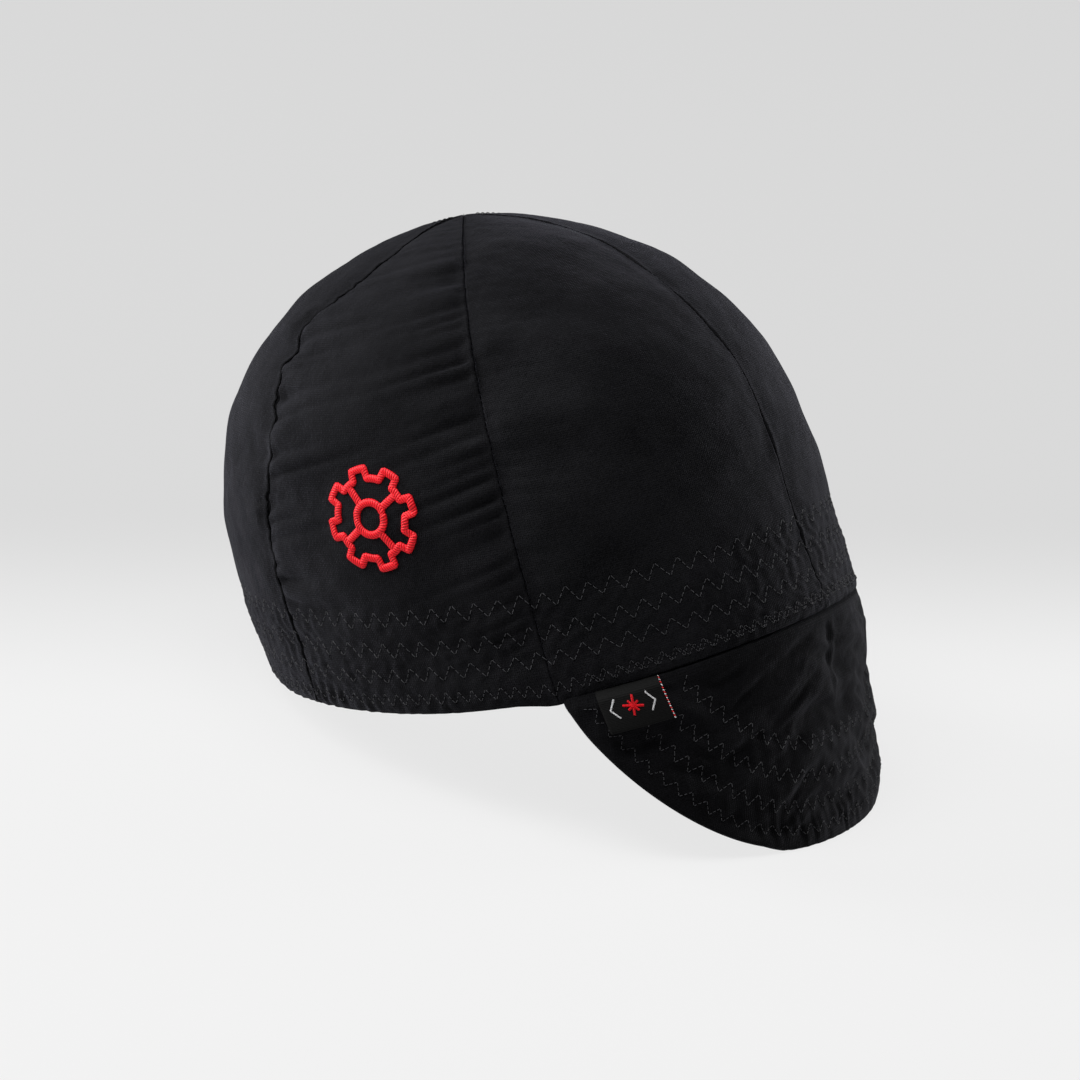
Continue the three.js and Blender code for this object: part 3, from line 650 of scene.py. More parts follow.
def cloth_object(name, outer, inner, across_mm, up_mm, material):
    """Closed wall from two grids, with a UV map whose unit is CLOTH_UNIT millimetres of cloth."""
    rows, columns = outer.shape[:2]
    points = laid_down(np.concatenate([outer.reshape(-1, 3), inner.reshape(-1, 3)]))
    faces = wall_faces(rows, columns)
    if signed_volume(points, faces) < 0:
        faces = faces[:, ::-1]
    made = add_piece(name, points, faces.tolist(), material)
    uv = np.stack([across_mm, up_mm], -1).reshape(-1, 2) / CLOTH_UNIT
    uv = np.concatenate([uv, uv])
    layer = made.data.uv_layers.new(name="cloth")
    layer.data.foreach_set("uv", uv[faces.ravel()].ravel())
    print(name, "faces:", len(faces))
    return made


# %% [markdown]
# ## Black cotton
#
# The cloth is dyed cotton drill: matt, with a short nap that catches light along the edges of the
# form, which a sheen layer gives. A picture of cloth would repeat and run out of detail, while waves
# and noise do neither, so the weave is two crossed waves. It is finer than the render shows, so it is
# drawn with a thread every 0.7 mm, about twice the real spacing. Slow noise fades the black a little,
# as washing and handling do, and fine noise is the fuzz that stands off the yarn.

# %% Colours and nodes
def colour(hex_value):
    """An sRGB hex colour as linear red, green, blue and alpha."""
    parts = np.array([int(hex_value[i : i + 2], 16) for i in (1, 3, 5)]) / 255
    linear = np.where(parts <= 0.04045, parts / 12.92, ((parts + 0.055) / 1.055) ** 2.4)
    return (*linear.tolist(), 1.0)


def add_node(tree, kind, settings=(), links=()):
    """Adds a node, sets its properties and input values, and links outputs into its inputs."""
    made = tree.nodes.new(kind)
    for name, value in dict(settings).items():
        if isinstance(name, int) or name in made.inputs:
            made.inputs[name].default_value = value
        else:
            setattr(made, name, value)
    for name, source in dict(links).items():
        tree.links.new(source, made.inputs[name])
    return made


def new_material(name):
    """An empty material with a Principled shader on its output, and its node tree."""
    material = bpy.data.materials.new(name)
    material.use_nodes = True
    tree = material.node_tree
    tree.nodes.clear()
    shader = add_node(tree, "ShaderNodeBsdfPrincipled")
    add_node(tree, "ShaderNodeOutputMaterial", links={"Surface": shader.outputs["BSDF"]})
    return material, tree, shader


def blend_colours(tree, factor, first, second):
    """A colour between two hex colours, by a factor that another node gives."""
    return add_node(tree, "ShaderNodeMix", {"data_type": "RGBA", 6: colour(first), 7: colour(second)},
                    {0: factor}).outputs[2]


# %% Woven cotton
THREAD_SPACING = 0.7


def cotton(name, dark, light, nap):
    """Dyed cotton cloth: plain weave and fuzz as bump, a slow fading of the dye, and a cool nap."""
    material, tree, shader = new_material(name)
    uv = add_node(tree, "ShaderNodeUVMap", {"uv_map": "cloth"}).outputs["UV"]
    place = add_node(tree, "ShaderNodeTexCoord").outputs["Object"]
    wave_scale = 2 * np.pi / 20 * CLOTH_UNIT / THREAD_SPACING
    warp, weft = (add_node(tree, "ShaderNodeTexWave", {
        "bands_direction": axis, "Scale": wave_scale, "Distortion": 1.2, "Detail": 1, "Detail Scale": 0.12,
    }, {"Vector": uv}).outputs["Fac"] for axis in "XY")
    weave = add_node(tree, "ShaderNodeMath", {"operation": "MULTIPLY"}, {0: warp, 1: weft})
    fuzz = add_node(tree, "ShaderNodeTexNoise", {"Scale": 2200, "Detail": 2, "Roughness": 0.6},
                    {"Vector": place})
    crumple = add_node(tree, "ShaderNodeTexNoise", {"Scale": 115, "Detail": 4, "Roughness": 0.55},
                       {"Vector": place})
    fading = add_node(tree, "ShaderNodeTexNoise", {"Scale": 24, "Detail": 5, "Roughness": 0.6},
                      {"Vector": place})
    speckle = add_node(tree, "ShaderNodeMath", {"operation": "MULTIPLY_ADD", 1: 1.2},
                       {0: fuzz.outputs["Fac"], 2: fading.outputs["Fac"]})
    share = add_node(tree, "ShaderNodeMapRange", {"From Min": 0.8, "From Max": 1.4},
                     {"Value": speckle.outputs[0]})
    tree.links.new(blend_colours(tree, share.outputs["Result"], dark, light), shader.inputs["Base Color"])
    rough = add_node(tree, "ShaderNodeMapRange", {"To Min": 0.78, "To Max": 0.95},
                     {"Value": fuzz.outputs["Fac"]})
    tree.links.new(rough.outputs["Result"], shader.inputs["Roughness"])
    wide = add_node(tree, "ShaderNodeBump", {"Strength": 0.4, "Distance": 0.0022},
                    {"Height": crumple.outputs["Fac"]})
    fine = add_node(tree, "ShaderNodeBump", {"Strength": 0.7, "Distance": 0.0003},
                    {"Height": fuzz.outputs["Fac"], "Normal": wide.outputs["Normal"]})
    woven = add_node(tree, "ShaderNodeBump", {"Strength": 0.6, "Distance": 0.0002},
                     {"Height": weave.outputs[0], "Normal": fine.outputs["Normal"]})
    tree.links.new(woven.outputs["Normal"], shader.inputs["Normal"])
    shader.inputs["Specular IOR Level"].default_value = 0.04
    shader.inputs["Sheen Weight"].default_value = nap
    shader.inputs["Sheen Roughness"].default_value = 0.36
    shader.inputs["Sheen Tint"].default_value = colour("#c4c4d6")
    return material


crown_cotton = cotton("black_cotton_drill", "#040405", "#1a1a1c", 0.145)
# Painted shade: the brim gets the crown's cotton as a darker copy with less sheen, for the shade that it
# hangs in
brim_cotton_painted_shade = cotton("black_cotton_brim_painted_shade", "#030303", "#141416", 0.095)


# %% [markdown]
# ## Cutting and sewing the panels
#
# Columns of the grid are closer together next to the seams, where the groove is, and rows are
# closer at the hem.

# %% Grids of the six panels
HEM_TURN = 0.9
HEM_TURN_HEIGHT = 3
SEAM_LAP = 0.5


def panel_grid(panel):
    """Shares across, closer near both seams, by rises, closer near the hem."""
    t = np.linspace(0, 1, panel["columns"] + 1)
    across = mix(t, 0.5 - 0.5 * np.cos(np.pi * t), 0.62)
    hem = np.array([0, 0.08, 0.25, 0.5, 0.8, 1.15, 1.6, 2.2])
    above = np.linspace(3, MERIDIAN_LENGTH - TOP_CLEARANCE, int(panel["columns"] * 1.62))
    rise = np.concatenate([hem, above]) / MERIDIAN_LENGTH
    return np.meshgrid(across, rise)


def make_panel(panel):
    """Both layers of a panel, drawn together in a rounded edge at the hem. The inner layer reaches a
    little past each seam, under its neighbour, so that no light comes through."""
    across, rise = panel_grid(panel)
    wall = wall_thickness(rise)
    inset = edge_inset(rise * MERIDIAN_LENGTH, wall)
    turned_under = HEM_TURN * (1 - ease(rise * MERIDIAN_LENGTH / HEM_TURN_HEIGHT))
    first, last = panel_edges(panel, rise)
    width = (last - first) * crown_radius((first + last) / 2, rise)
    lapped = across + (2 * across - 1) * SEAM_LAP / np.maximum(width, 8)
    outer = panel_point(panel, across, rise, -inset - turned_under)
    inner = panel_point(panel, lapped, rise, inset - wall)
    across_mm = (across - 0.5) * width + 150 * panel["key"]
    up_mm = rise * MERIDIAN_LENGTH
    name = "cloth_panel_" + panel["name"]
    return cloth_object(name, outer, inner, across_mm, up_mm, crown_cotton)


for panel in PANELS:
    made = make_panel(panel)
    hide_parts("crown_panel_" + panel["name"])
    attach(made, "root")


# %% [markdown]
# ## The brim
#
# The brim is several layers of the same cotton, stitched through in rows that run parallel to its
# edge. It could be a flat plate bent down, but it fans out, tapers to both ends and starts behind the
# band, so it is a grid of its own: the place along the rim, and the reach down from it. The rows pull
# it flat and leave soft ribs between them, and the edge is gathered where the cloth is turned round
# it. The distance from the outer edge is what all of this follows.

# %% Rows and gathers on the brim
BRIM_ROWS = [
    {"in": 33.3, "tall": 4.9},
    {"in": 22.6, "tall": 4.9},
    {"in": 13, "tall": 4.6},
    {"in": 5.3, "tall": 3.4, "radius": 0.09},
]
BRIM_PITCH = 5.7
EDGE_ROLL = 1.1


def rolled_reach(place):
    """Depth of the brim to the rolled edge, which is a millimetre past the edge of the frame's solid
    except at the middle, where the brim stands on the table."""
    off_table = 1 - bell(place, 0.35)
    return brim_reach(place) + EDGE_ROLL * off_table * ease((1 - np.abs(place)) * 12)


def edge_slope(place):
    """How fast the brim's outline runs inward along the brim, in millimetres per millimetre."""
    step = 0.002
    slope = (brim_reach(place + step) - brim_reach(place - step)) / (2 * step * BRIM_SPAN)
    return np.sqrt(1 + np.minimum(slope**2, 6))


def from_edge(place, reach):
    """Distance from the brim's outer edge, measured square to it."""
    return (rolled_reach(place) - reach) / edge_slope(place)


# %% Relief of the brim
BRIM_ROW_DIP, BRIM_ROW_DIP_WIDTH = 0.3, 2.3
BRIM_RIPPLE, BRIM_RIPPLE_WIDTH = 0.12, 4
EDGE_GATHER, EDGE_GATHER_IN, EDGE_GATHER_WIDTH = 0.3, 5.5, 4.6
SEAM_ROLL, SEAM_ROLL_REACH, SEAM_ROLL_WIDTH = 1.2, 1.6, 1.1


def brim_relief(place, reach):
    """Creases, dips along the rows of stitching, ribs between them, gathers at the edge, and a small
    roll under the hem, where the brim comes out of the seam."""
    inward = from_edge(place, reach)
    along = place * BRIM_SPAN
    below_seam = ease(reach / 9)
    total = crease_relief(place, reach)
    for row in BRIM_ROWS:
        away = inward - row["in"] - 0.3 * np.sin(along / 9 + row["in"])
        total -= BRIM_ROW_DIP * bell(away, BRIM_ROW_DIP_WIDTH) * below_seam
        ripple = np.sin(along * 2 * np.pi / BRIM_PITCH) * bell(away, BRIM_RIPPLE_WIDTH)
        total += BRIM_RIPPLE * ripple * below_seam
    gather = np.sin(along * 1.21 + 2.2 * np.sin(along * 0.19) + 0.15 * inward)
    strength = 0.6 + 0.4 * np.sin(along * 0.081 + 0.6)
    gather += 0.6 * np.sin(along * 1.87 + 1.9 * np.sin(along * 0.29) - 0.2 * inward)
    total += EDGE_GATHER * gather * strength * bell(inward - EDGE_GATHER_IN, EDGE_GATHER_WIDTH) * below_seam
    total += SEAM_ROLL * bell(reach - SEAM_ROLL_REACH, SEAM_ROLL_WIDTH)
    swirl_a = along + 3 * np.sin(reach * 0.13 + 0.9) + 1.5 * np.sin(reach * 0.31 + along * 0.07)
    swirl_b = reach + 4 * np.sin(along * 0.09 + 0.5) + 1.5 * np.sin(along * 0.23 - reach * 0.05)
    total += below_seam * waves(swirl_a, swirl_b, [
        (0.7, 0.06, 0.25, 0.4), (0.45, -0.1, 0.45, 1.9), (0.26, 0.13, 0.83, 0.8), (0.1, -0.19, 1.21, 2.5),
        (0.06, 0.71, 0.83, 0.2), (0.05, -0.97, 0.62, 1.2), (0.05, 0.37, -1.43, 2.9),
    ]) * ease(inward / 8)
    across_fold = along + 1.2 * np.sin(reach * 0.17)
    total += 0.5 * bell(across_fold, 1.3) * ease((40 - reach) / 20) * below_seam
    total -= 0.4 * bell(across_fold - 2.9, 1.6) * ease((34 - reach) / 20) * below_seam
    return total


def brim_point(place, reach, height):
    """Point height millimetres over the cloth of the brim."""
    lift = (brim_relief(place, reach) + height)[..., None]
    return brim_outer(place, reach) + brim_normal(place, reach) * lift


# %% Make the brim
BRIM_END = 0.993
BRIM_COLUMNS = 250

place_line = BRIM_END * np.linspace(-1, 1, BRIM_COLUMNS + 1)
tuck_rows = np.linspace(-1, 0, 7)[:-1]
open_rows = 1 - np.linspace(1, 0, 96) ** 1.25
place, row_share = np.meshgrid(place_line, np.concatenate([tuck_rows, open_rows]))
tuck = BRIM_TUCK * (1 - np.abs(place) ** 6)
reach = np.where(row_share < 0, tuck * row_share, rolled_reach(place) * row_share)
inset = edge_inset(from_edge(place, reach), BRIM_THICKNESS)
brim = cloth_object(
    "cloth_brim",
    brim_point(place, reach, -inset),
    brim_point(place, reach, inset - BRIM_THICKNESS),
    place * BRIM_SPAN, reach, brim_cotton_painted_shade,
)
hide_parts("brim")
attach(brim, "root")


# %% [markdown]
# ## Thread
#
# The zigzag is the machine's three-step kind: each leg of the zigzag is three short stitches. One
# long curve with a bevel could draw a row, but real stitches end in needle holes, and each catches
# the light by itself. So every stitch is a small rounded bar whose ends dive into the cloth. One
# shape is worked out for all of them at once, as arrays of stitch by station by corner.

# %% Stitches from their two ends
STITCH_STATIONS = np.array([0, 0.16, 0.5, 0.84, 1])
STITCH_LIFTS = np.array([-0.22, 0.06, 0.16, 0.06, -0.22])
STITCH_SHARES = np.array([0.5, 0.95, 1, 0.95, 0.5])


def stitch_object(name, starts, ends, normals, radius, material, corners=5, rise_by=0, every=1):
    """Rounded bars from starts to ends. Each follows its chord, lifted at the middle and sunk at the
    ends, with a ring of corners at every station and a closed face at both ends. The whole bar is
    raised by rise_by, or sunk where that is below zero. Every second station makes a plainer bar."""
    stations, lifts, shares = STITCH_STATIONS[::every], STITCH_LIFTS[::every], STITCH_SHARES[::every]
    forward = unit(ends - starts)
    sideways = unit(np.cross(forward, normals))
    lifted = np.cross(sideways, forward)
    turn = 2 * np.pi * np.arange(corners) / corners
    centre = starts[:, None] + (ends - starts)[:, None] * stations[None, :, None]
    centre = centre + lifted[:, None] * (lifts + rise_by)[None, :, None]
    ring = (sideways[:, None, None] * np.cos(turn)[None, None, :, None]
            + lifted[:, None, None] * np.sin(turn)[None, None, :, None])
    count = len(starts)
    thick = np.broadcast_to(radius, count)[:, None] * shares[None]
    points = centre[:, :, None] + ring * thick[:, :, None, None]
    index = np.arange(count * len(stations) * corners).reshape(count, len(stations), corners)
    after = np.roll(index, -1, axis=2)
    sides = np.stack([index[:, :-1], after[:, :-1], after[:, 1:], index[:, 1:]], -1).reshape(-1, 4)
    points = laid_down(points.reshape(-1, 3))
    flip = signed_volume(points, sides) < 0
    caps = np.concatenate([index[:, 0, ::-1], index[:, -1]])
    faces = (sides[:, ::-1] if flip else sides).tolist() + (caps[:, ::-1] if flip else caps).tolist()
    made = add_piece(name, points, faces, material)
    longest = np.linalg.norm(ends - starts, axis=1).max()
    print(name, "stitches:", count, "longest, mm:", round(longest, 2))
    return made


def zigzag_stitches(corners, steps):
    """Start and end of every stitch along a zigzag: each leg is cut in equal steps with small gaps."""
    leg = corners[1:] - corners[:-1]
    first = (np.arange(steps) + 0.07) / steps
    last = (np.arange(steps) + 0.93) / steps
    starts = corners[:-1, None] + leg[:, None] * first[None, :, None]
    ends = corners[:-1, None] + leg[:, None] * last[None, :, None]
    return starts.reshape(-1, 2), ends.reshape(-1, 2)


# %% [markdown]
# The thread is spun polyester in dull grey, a shade lighter than the cloth, so the rows only just
# show. Its twist is too fine to see, and a fine noise stands in for it. Each stitch starts in a
# needle hole, whose shade is painted: a dark dot that a small sunk bar of black, dull thread draws.
# The seams are closed with black thread, which lies deep between the panels. It has no shine and
# nearly no colour, and that is painted shade, the dark line of each seam's groove.

# %% Grey and black thread
def thread_material(name, dark, light, roughness, specular=0.35, nap=0.15, satin=False):
    """Thread, with fine noise in colour and bump for its twist. In satin stitch the colour follows an
    attribute instead: deep in the painted shade between two threads and bright in a painted highlight on top
    of each."""
    material, tree, shader = new_material(name)
    place = add_node(tree, "ShaderNodeTexCoord").outputs["Object"]
    twist = add_node(tree, "ShaderNodeTexNoise", {"Scale": 2600, "Detail": 2}, {"Vector": place})
    crest = add_node(tree, "ShaderNodeAttribute", {"attribute_name": "crest_highlight_groove_shade"}) if satin else twist
    tree.links.new(blend_colours(tree, crest.outputs["Fac"], dark, light), shader.inputs["Base Color"])
    bump = add_node(tree, "ShaderNodeBump", {"Strength": 0.3, "Distance": 0.0001},
                    {"Height": twist.outputs["Fac"]})
    tree.links.new(bump.outputs["Normal"], shader.inputs["Normal"])
    shader.inputs["Roughness"].default_value = roughness
    shader.inputs["Specular IOR Level"].default_value = specular
    shader.inputs["Sheen Weight"].default_value = nap
    shader.inputs["Sheen Roughness"].default_value = 0.4
    return material


grey_thread = thread_material("grey_polyester_thread", "#1e1e20", "#4a4a4e", 0.6)

# Painted shade: this thread is nearly black and has no shine, standing in for the shade at the bottom of a
# seam and in a needle hole
shade_black_thread = thread_material("black_seam_thread_painted_shade", "#010101", "#050505", 1, specular=0, nap=0)


# %% Rows round the crown
ZIGZAG_RADIUS = 0.1


def crown_cloth(rim_distance, up, height):
    """Points over the cloth of whichever panel lies at this distance round the rim."""
    angle = np.interp(rim_distance, ring_lengths, ring_angles)
    rise = up / MERIDIAN_LENGTH
    points = np.zeros(angle.shape + (3,))
    for panel in PANELS:
        first, last = panel_edges(panel, rise)
        across = (panel["side"] * angle - first) / (last - first)
        here = (across > -0.001) & (across < 1.001)
        if here.any():
            inside = np.clip(across[here], 0, 1)
            points[here] = panel_point(panel, inside, rise[here], height[here])
    normals = crown_normal(np.abs(angle), rise) * np.stack(
        [np.sign(angle + 1e-9), np.ones_like(angle), np.ones_like(angle)], -1)
    return points, normals


def needle_hole_shade(name, starts, ends, normals):
    """Painted shade of a needle hole: a short black bar, nearly level with the cloth, at the start of every
    stitch.
    """
    forward = unit(ends - starts)
    return stitch_object(name, starts - forward * 0.42, starts + forward * 0.22, normals, 0.24,
                         shade_black_thread, rise_by=-0.2, every=2)


# %% Sew the rows round the crown
def crown_row(row):
    """Starts, ends, normals and radii of the stitches of one row round the crown."""
    at = np.linspace(0, BAND_LENGTH, 2 * row["count"] + 1)
    if "from" in row:
        at = at[np.abs(at - BAND_LENGTH / 2) < row["from"]] + BAND_LENGTH / row["count"] / 4
    swing = np.where(np.arange(len(at)) % 2, 0.5, -0.5) * row["tall"]
    swing = swing * (1 + 0.12 * np.sin(at * 1.7) * np.sin(at * 0.37))
    around = np.clip(at + 0.25 * np.sin(at * 2.3), 0, BAND_LENGTH)
    first, last = zigzag_stitches(np.stack([around, zigzag_up(row, at) + swing], -1), 3)
    level = np.zeros(len(first))
    start, normal = crown_cloth(first[:, 0], first[:, 1], level)
    end, _ = crown_cloth(last[:, 0], last[:, 1], level)
    return start, end, normal, level + row.get("radius", ZIGZAG_RADIUS)


def join_rows(rows):
    """Joins the arrays of several rows, each kind of array with its own kind."""
    return [np.concatenate(kind) for kind in zip(*rows)]


starts, ends, normals, radii = join_rows([crown_row(row) for row in ZIGZAG_ROWS + [FRONT_HEM_ROW]])
crown_stitches = stitch_object("zigzag_thread_crown", starts, ends, normals, radii, grey_thread)
# Painted shade in the needle holes of the crown's rows, as sunk black bars
crown_hole_shade = needle_hole_shade("needle_hole_shade_crown", starts, ends, normals)
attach(crown_stitches, "root")
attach(crown_hole_shade, "root")


# %% Thread in the seams
SEAM_PITCH = 1.9

# Which panel's edge the thread follows, which of its two edges, the share that each stitch covers,
# and the thread's radius. It is thin where the seam is flat and fills the open rear seam, where its
# black is the painted shade of the deep groove.
seam_threads = [
    ("front_right", 0, 0.75, 0.1), ("side_right", 0, 0.72, 0.12), ("rear_right", 0, 1.0, 0.17),
    ("side_left", 0, 0.75, 0.12), ("rear_left", 0, 0.75, 0.12), ("rear_right", 1, 0.75, 0.12),
]
panel_named = {panel["name"]: panel for panel in PANELS}


def seam_stitches(panel, edge, cover, radius):
    """Starts, ends, normals and radii of stitches up an edge of a panel, half way up its groove."""
    up = np.arange(1.5, MERIDIAN_LENGTH - 5, SEAM_PITCH)
    up = up + 0.25 * np.sin(up * 3.7)
    across, height = np.full(len(up), float(edge)), np.full(len(up), panel["groove"][edge] * 0.55)
    first, last = up / MERIDIAN_LENGTH, (up + SEAM_PITCH * cover) / MERIDIAN_LENGTH
    side = np.array([panel["side"], 1, 1])
    normal = crown_normal(seam_angle(*panel["to" if edge else "from"], panel["side"], first), first)
    thinner_in_band = 0.65 + 0.35 * ease((up - 25) / 20)
    return (panel_point(panel, across, first, height), panel_point(panel, across, last, height),
            normal * side, radius * thinner_in_band)


starts, ends, normals, radii = join_rows(
    [seam_stitches(panel_named[name], *row) for name, *row in seam_threads])
# Black thread deep in the grooves: real seam thread, and painted shade for the dark line of each seam
seam_thread_and_painted_shade = stitch_object("seam_thread_and_painted_shade", starts, ends, normals, radii, shade_black_thread)
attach(seam_thread_and_painted_shade, "root")


# %% Lines on the brim
ROW_END = 0.97
ROW_START = 2.5
STITCH_START = 1.5


def brim_row(inward):
    """Place and reach of a line at this distance from the brim's outer edge, where it is open."""
    place = np.linspace(-ROW_END, ROW_END, 900)
    reach = rolled_reach(place) - inward * edge_slope(place)
    keep = reach > ROW_START
    return place[keep], reach[keep]


def step_square(place, reach, amount):
    """Moves points off a row, square to it and along the cloth, by amount millimetres. The steps in
    place and reach are solved from the cloth's own stretch in those two directions."""
    small = 1e-3
    by_place = (brim_outer(place + small, reach) - brim_outer(place - small, reach)) / (2 * small)
    by_reach = brim_outer(place, reach + 0.5) - brim_outer(place, reach - 0.5)
    heading = unit(by_place * np.gradient(place)[:, None] + by_reach * np.gradient(reach)[:, None])
    square = unit(np.cross(heading, brim_normal(place, reach)))
    square = square * np.sign((square * by_reach).sum(-1, keepdims=True)) * amount[:, None]
    a, b, c = ((u * v).sum(-1) for u, v in ((by_place, by_place), (by_place, by_reach), (by_reach, by_reach)))
    p, q = (square * by_place).sum(-1), (square * by_reach).sum(-1)
    size = a * c - b * b
    return place + (p * c - q * b) / size, reach + (q * a - p * b) / size


# %% Sew the rows on the brim
def brim_stitch_row(row):
    """Starts, ends, normals and radii of the stitches of one row on the brim."""
    place, reach = brim_row(row["in"])
    line = brim_outer(place, reach)
    lengths = np.concatenate([[0], np.cumsum(np.linalg.norm(np.diff(line, axis=0), axis=1))])
    at = np.arange(1.5, lengths[-1] - 1, BRIM_PITCH / 2)
    place = np.interp(at, lengths, place)
    swing = np.where(np.arange(len(at)) % 2, 0.5, -0.5) * row["tall"]
    waver = 0.3 * np.sin(place * BRIM_SPAN / 9 + row["in"])
    reach = rolled_reach(place) - (row["in"] + waver) * edge_slope(place)
    first, last = zigzag_stitches(np.stack(step_square(place, reach, swing), -1), 3)
    open_cloth = (first[:, 1] > STITCH_START) & (last[:, 1] > STITCH_START)
    first, last = first[open_cloth], last[open_cloth]
    level = np.zeros(len(first))
    return (brim_point(*first.T, level), brim_point(*last.T, level), brim_normal(*first.T),
            level + row.get("radius", ZIGZAG_RADIUS))


starts, ends, normals, radii = join_rows([brim_stitch_row(row) for row in BRIM_ROWS])
brim_stitches = stitch_object("zigzag_thread_brim", starts, ends, normals, radii, grey_thread)
# Painted shade in the needle holes of the brim's rows, as sunk black bars
brim_hole_shade = needle_hole_shade("needle_hole_shade_brim", starts, ends, normals)
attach(brim_stitches, "root")
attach(brim_hole_shade, "root")


# %% [markdown]
# ## Satin stitch
#
# Embroidery fills a line with threads laid side by side across it, so each stroke is a small dome,
# ridged by its threads. Bump on a flat ribbon could show the ridges, but not how the strokes stand
# off the cloth at their edges. The design is a plain cog wheel: its rim, a ring at its hub, and four
# spokes. Each straight run is a stroke of its own with rounded ends, and neighbours overlap, as a
# machine sews them.

# %% A stroke as a ridged dome
def stroke_grid(path, width, height, pitch, sink=0.35, ridge_height=0.17):
    """Cross-sections along a path in a plane: a dome over the cloth and one point sunk under it.
    The height is a half circle times ridges, one for each thread, and the ends are rounded."""
    steps = np.linalg.norm(np.diff(path, axis=0), axis=1)
    lengths = np.concatenate([[0], np.cumsum(steps)])
    count = max(int(lengths[-1] / pitch * 6), 8)
    at = np.linspace(0, lengths[-1], count)
    centre = np.stack([np.interp(at, lengths, path[:, 0]), np.interp(at, lengths, path[:, 1])], -1)
    heading = unit(np.gradient(centre, axis=0))
    square = np.stack([-heading[:, 1], heading[:, 0]], -1)
    end_gap = np.minimum(at, lengths[-1] - at)
    rounding = np.sqrt(np.clip(1 - (1 - np.clip(end_gap / (width * 0.4), 0.02, 1)) ** 2, 0, 1))
    across = np.sin(np.linspace(-0.5, 0.5, 9) * np.pi)
    ridge = np.cos(2 * np.pi * (at[:, None] + 0.22 * width * across[None]) / pitch)
    half = width / 2 * rounding * (1 + 0.03 * ridge[:, 4])
    dome = np.sqrt(np.clip(1 - across**2, 0, 1)) ** 0.8
    tall = height * dome[None] * rounding[:, None] ** 0.5 + ridge_height * ridge * dome[None]
    flat = centre[:, None] + square[:, None] * (half[:, None] * across[None])[..., None]
    flat = np.concatenate([flat, centre[:, None]], axis=1)
    tall = np.concatenate([tall, np.full((count, 1), -sink)], axis=1)
    # Share of the colour: a painted highlight on top of each thread, painted shade between two, and dark at
    # the sunk point
    crest = np.concatenate([0.5 + 0.5 * ridge, np.zeros((count, 1))], axis=1)
    return flat, tall, crest


# %% Join strokes in one mesh
def tube_faces(stations, corners):
    """Quads round a closed tube, and a face on each end."""
    index = np.arange(stations * corners).reshape(stations, corners)
    after = np.roll(index, -1, axis=1)
    sides = np.stack([index[:-1], after[:-1], after[1:], index[1:]], -1).reshape(-1, 4)
    return sides, index[0, ::-1], index[-1]


def embroidered_object(name, strokes, lay_on_cloth, material):
    """Puts strokes on cloth and joins them in one mesh. Each stroke is (path, width, height, pitch).
    Its attribute is 1 on top of each thread, for a painted highlight, and 0 between two threads, for painted
    shade."""
    points, faces, crests, offset = [], [], [], 0
    for path, width, height, pitch in strokes:
        flat, tall, crest = stroke_grid(path, width, height, pitch)
        crests.append(crest.ravel())
        stations, corners = tall.shape
        placed = laid_down(lay_on_cloth(flat[..., 0], flat[..., 1], tall).reshape(-1, 3))
        sides, first_cap, last_cap = tube_faces(stations, corners)
        turned = signed_volume(placed, sides) < 0
        sides = sides[:, ::-1] if turned else sides
        caps = [first_cap[::-1], last_cap[::-1]] if turned else [first_cap, last_cap]
        points.append(placed)
        faces += (sides + offset).tolist() + [(cap + offset).tolist() for cap in caps]
        offset += len(placed)
    made = add_piece(name, np.concatenate(points), faces, material)
    crest = made.data.attributes.new("crest_highlight_groove_shade", "FLOAT", "POINT")
    crest.data.foreach_set("value", np.concatenate(crests))
    print(name, "strokes:", len(strokes), "faces:", len(faces))
    return made


# %% The cog wheel
MOTIF_ANGLE = 89
MOTIF_HEIGHT = 64
MOTIF_RADIUS = 17
MOTIF_STROKE = 2.5
MOTIF_TEETH = 8
MOTIF_SPOKES = 4
MOTIF_TURN = 12
SATIN_PITCH = 0.85

side_right = PANELS[1]


def on_side_panel(x, y, height):
    """Point over the right side panel, x across and y up from the middle of the design."""
    rise = (MOTIF_HEIGHT + y) / MERIDIAN_LENGTH
    first, last = panel_edges(side_right, rise)
    middle = np.radians(MOTIF_ANGLE)
    angle = middle - x / crown_radius(middle, rise)
    return panel_point(side_right, (angle - first) / (last - first), rise, height)


def on_circle(radius, turn):
    """Points at this radius and angle."""
    return radius * np.stack([np.cos(turn), np.sin(turn)], -1)


def arc(radius, start, end):
    """Points on a circle from one angle to another, every 0.2 mm or so."""
    return on_circle(radius, np.linspace(start, end, max(int(abs(end - start) * radius * 5), 3)))


# %% Strokes of the cog wheel
pitch = 2 * np.pi / MOTIF_TEETH
turned = np.radians(MOTIF_TURN)
root_radius = MOTIF_RADIUS * 0.74
tip_radius = MOTIF_RADIUS - MOTIF_STROKE / 2
tip_half, root_half = pitch * 0.2, pitch * 0.27
overlap = MOTIF_STROKE * 0.38
cog_strokes = []
for tooth in range(MOTIF_TEETH):
    centre = tooth * pitch + turned
    for side in (-1, 1):
        start = on_circle(root_radius, centre + side * root_half)
        end = on_circle(tip_radius, centre + side * tip_half)
        run = unit(end - start)
        line = np.linspace(start - run * overlap, end + run * overlap, 20)
        cog_strokes.append((line, MOTIF_STROKE, 0.75, SATIN_PITCH))
    reach_tip, reach_root = overlap / tip_radius, overlap / root_radius
    cog_strokes.append((arc(tip_radius, centre - tip_half - reach_tip, centre + tip_half + reach_tip),
                        MOTIF_STROKE, 0.9, SATIN_PITCH))
    cog_strokes.append((arc(root_radius, centre + root_half - reach_root,
                            centre + pitch - root_half + reach_root), MOTIF_STROKE, 0.85, SATIN_PITCH))
hub_radius = MOTIF_RADIUS * 0.3
spoke_step = 2 * np.pi / MOTIF_SPOKES
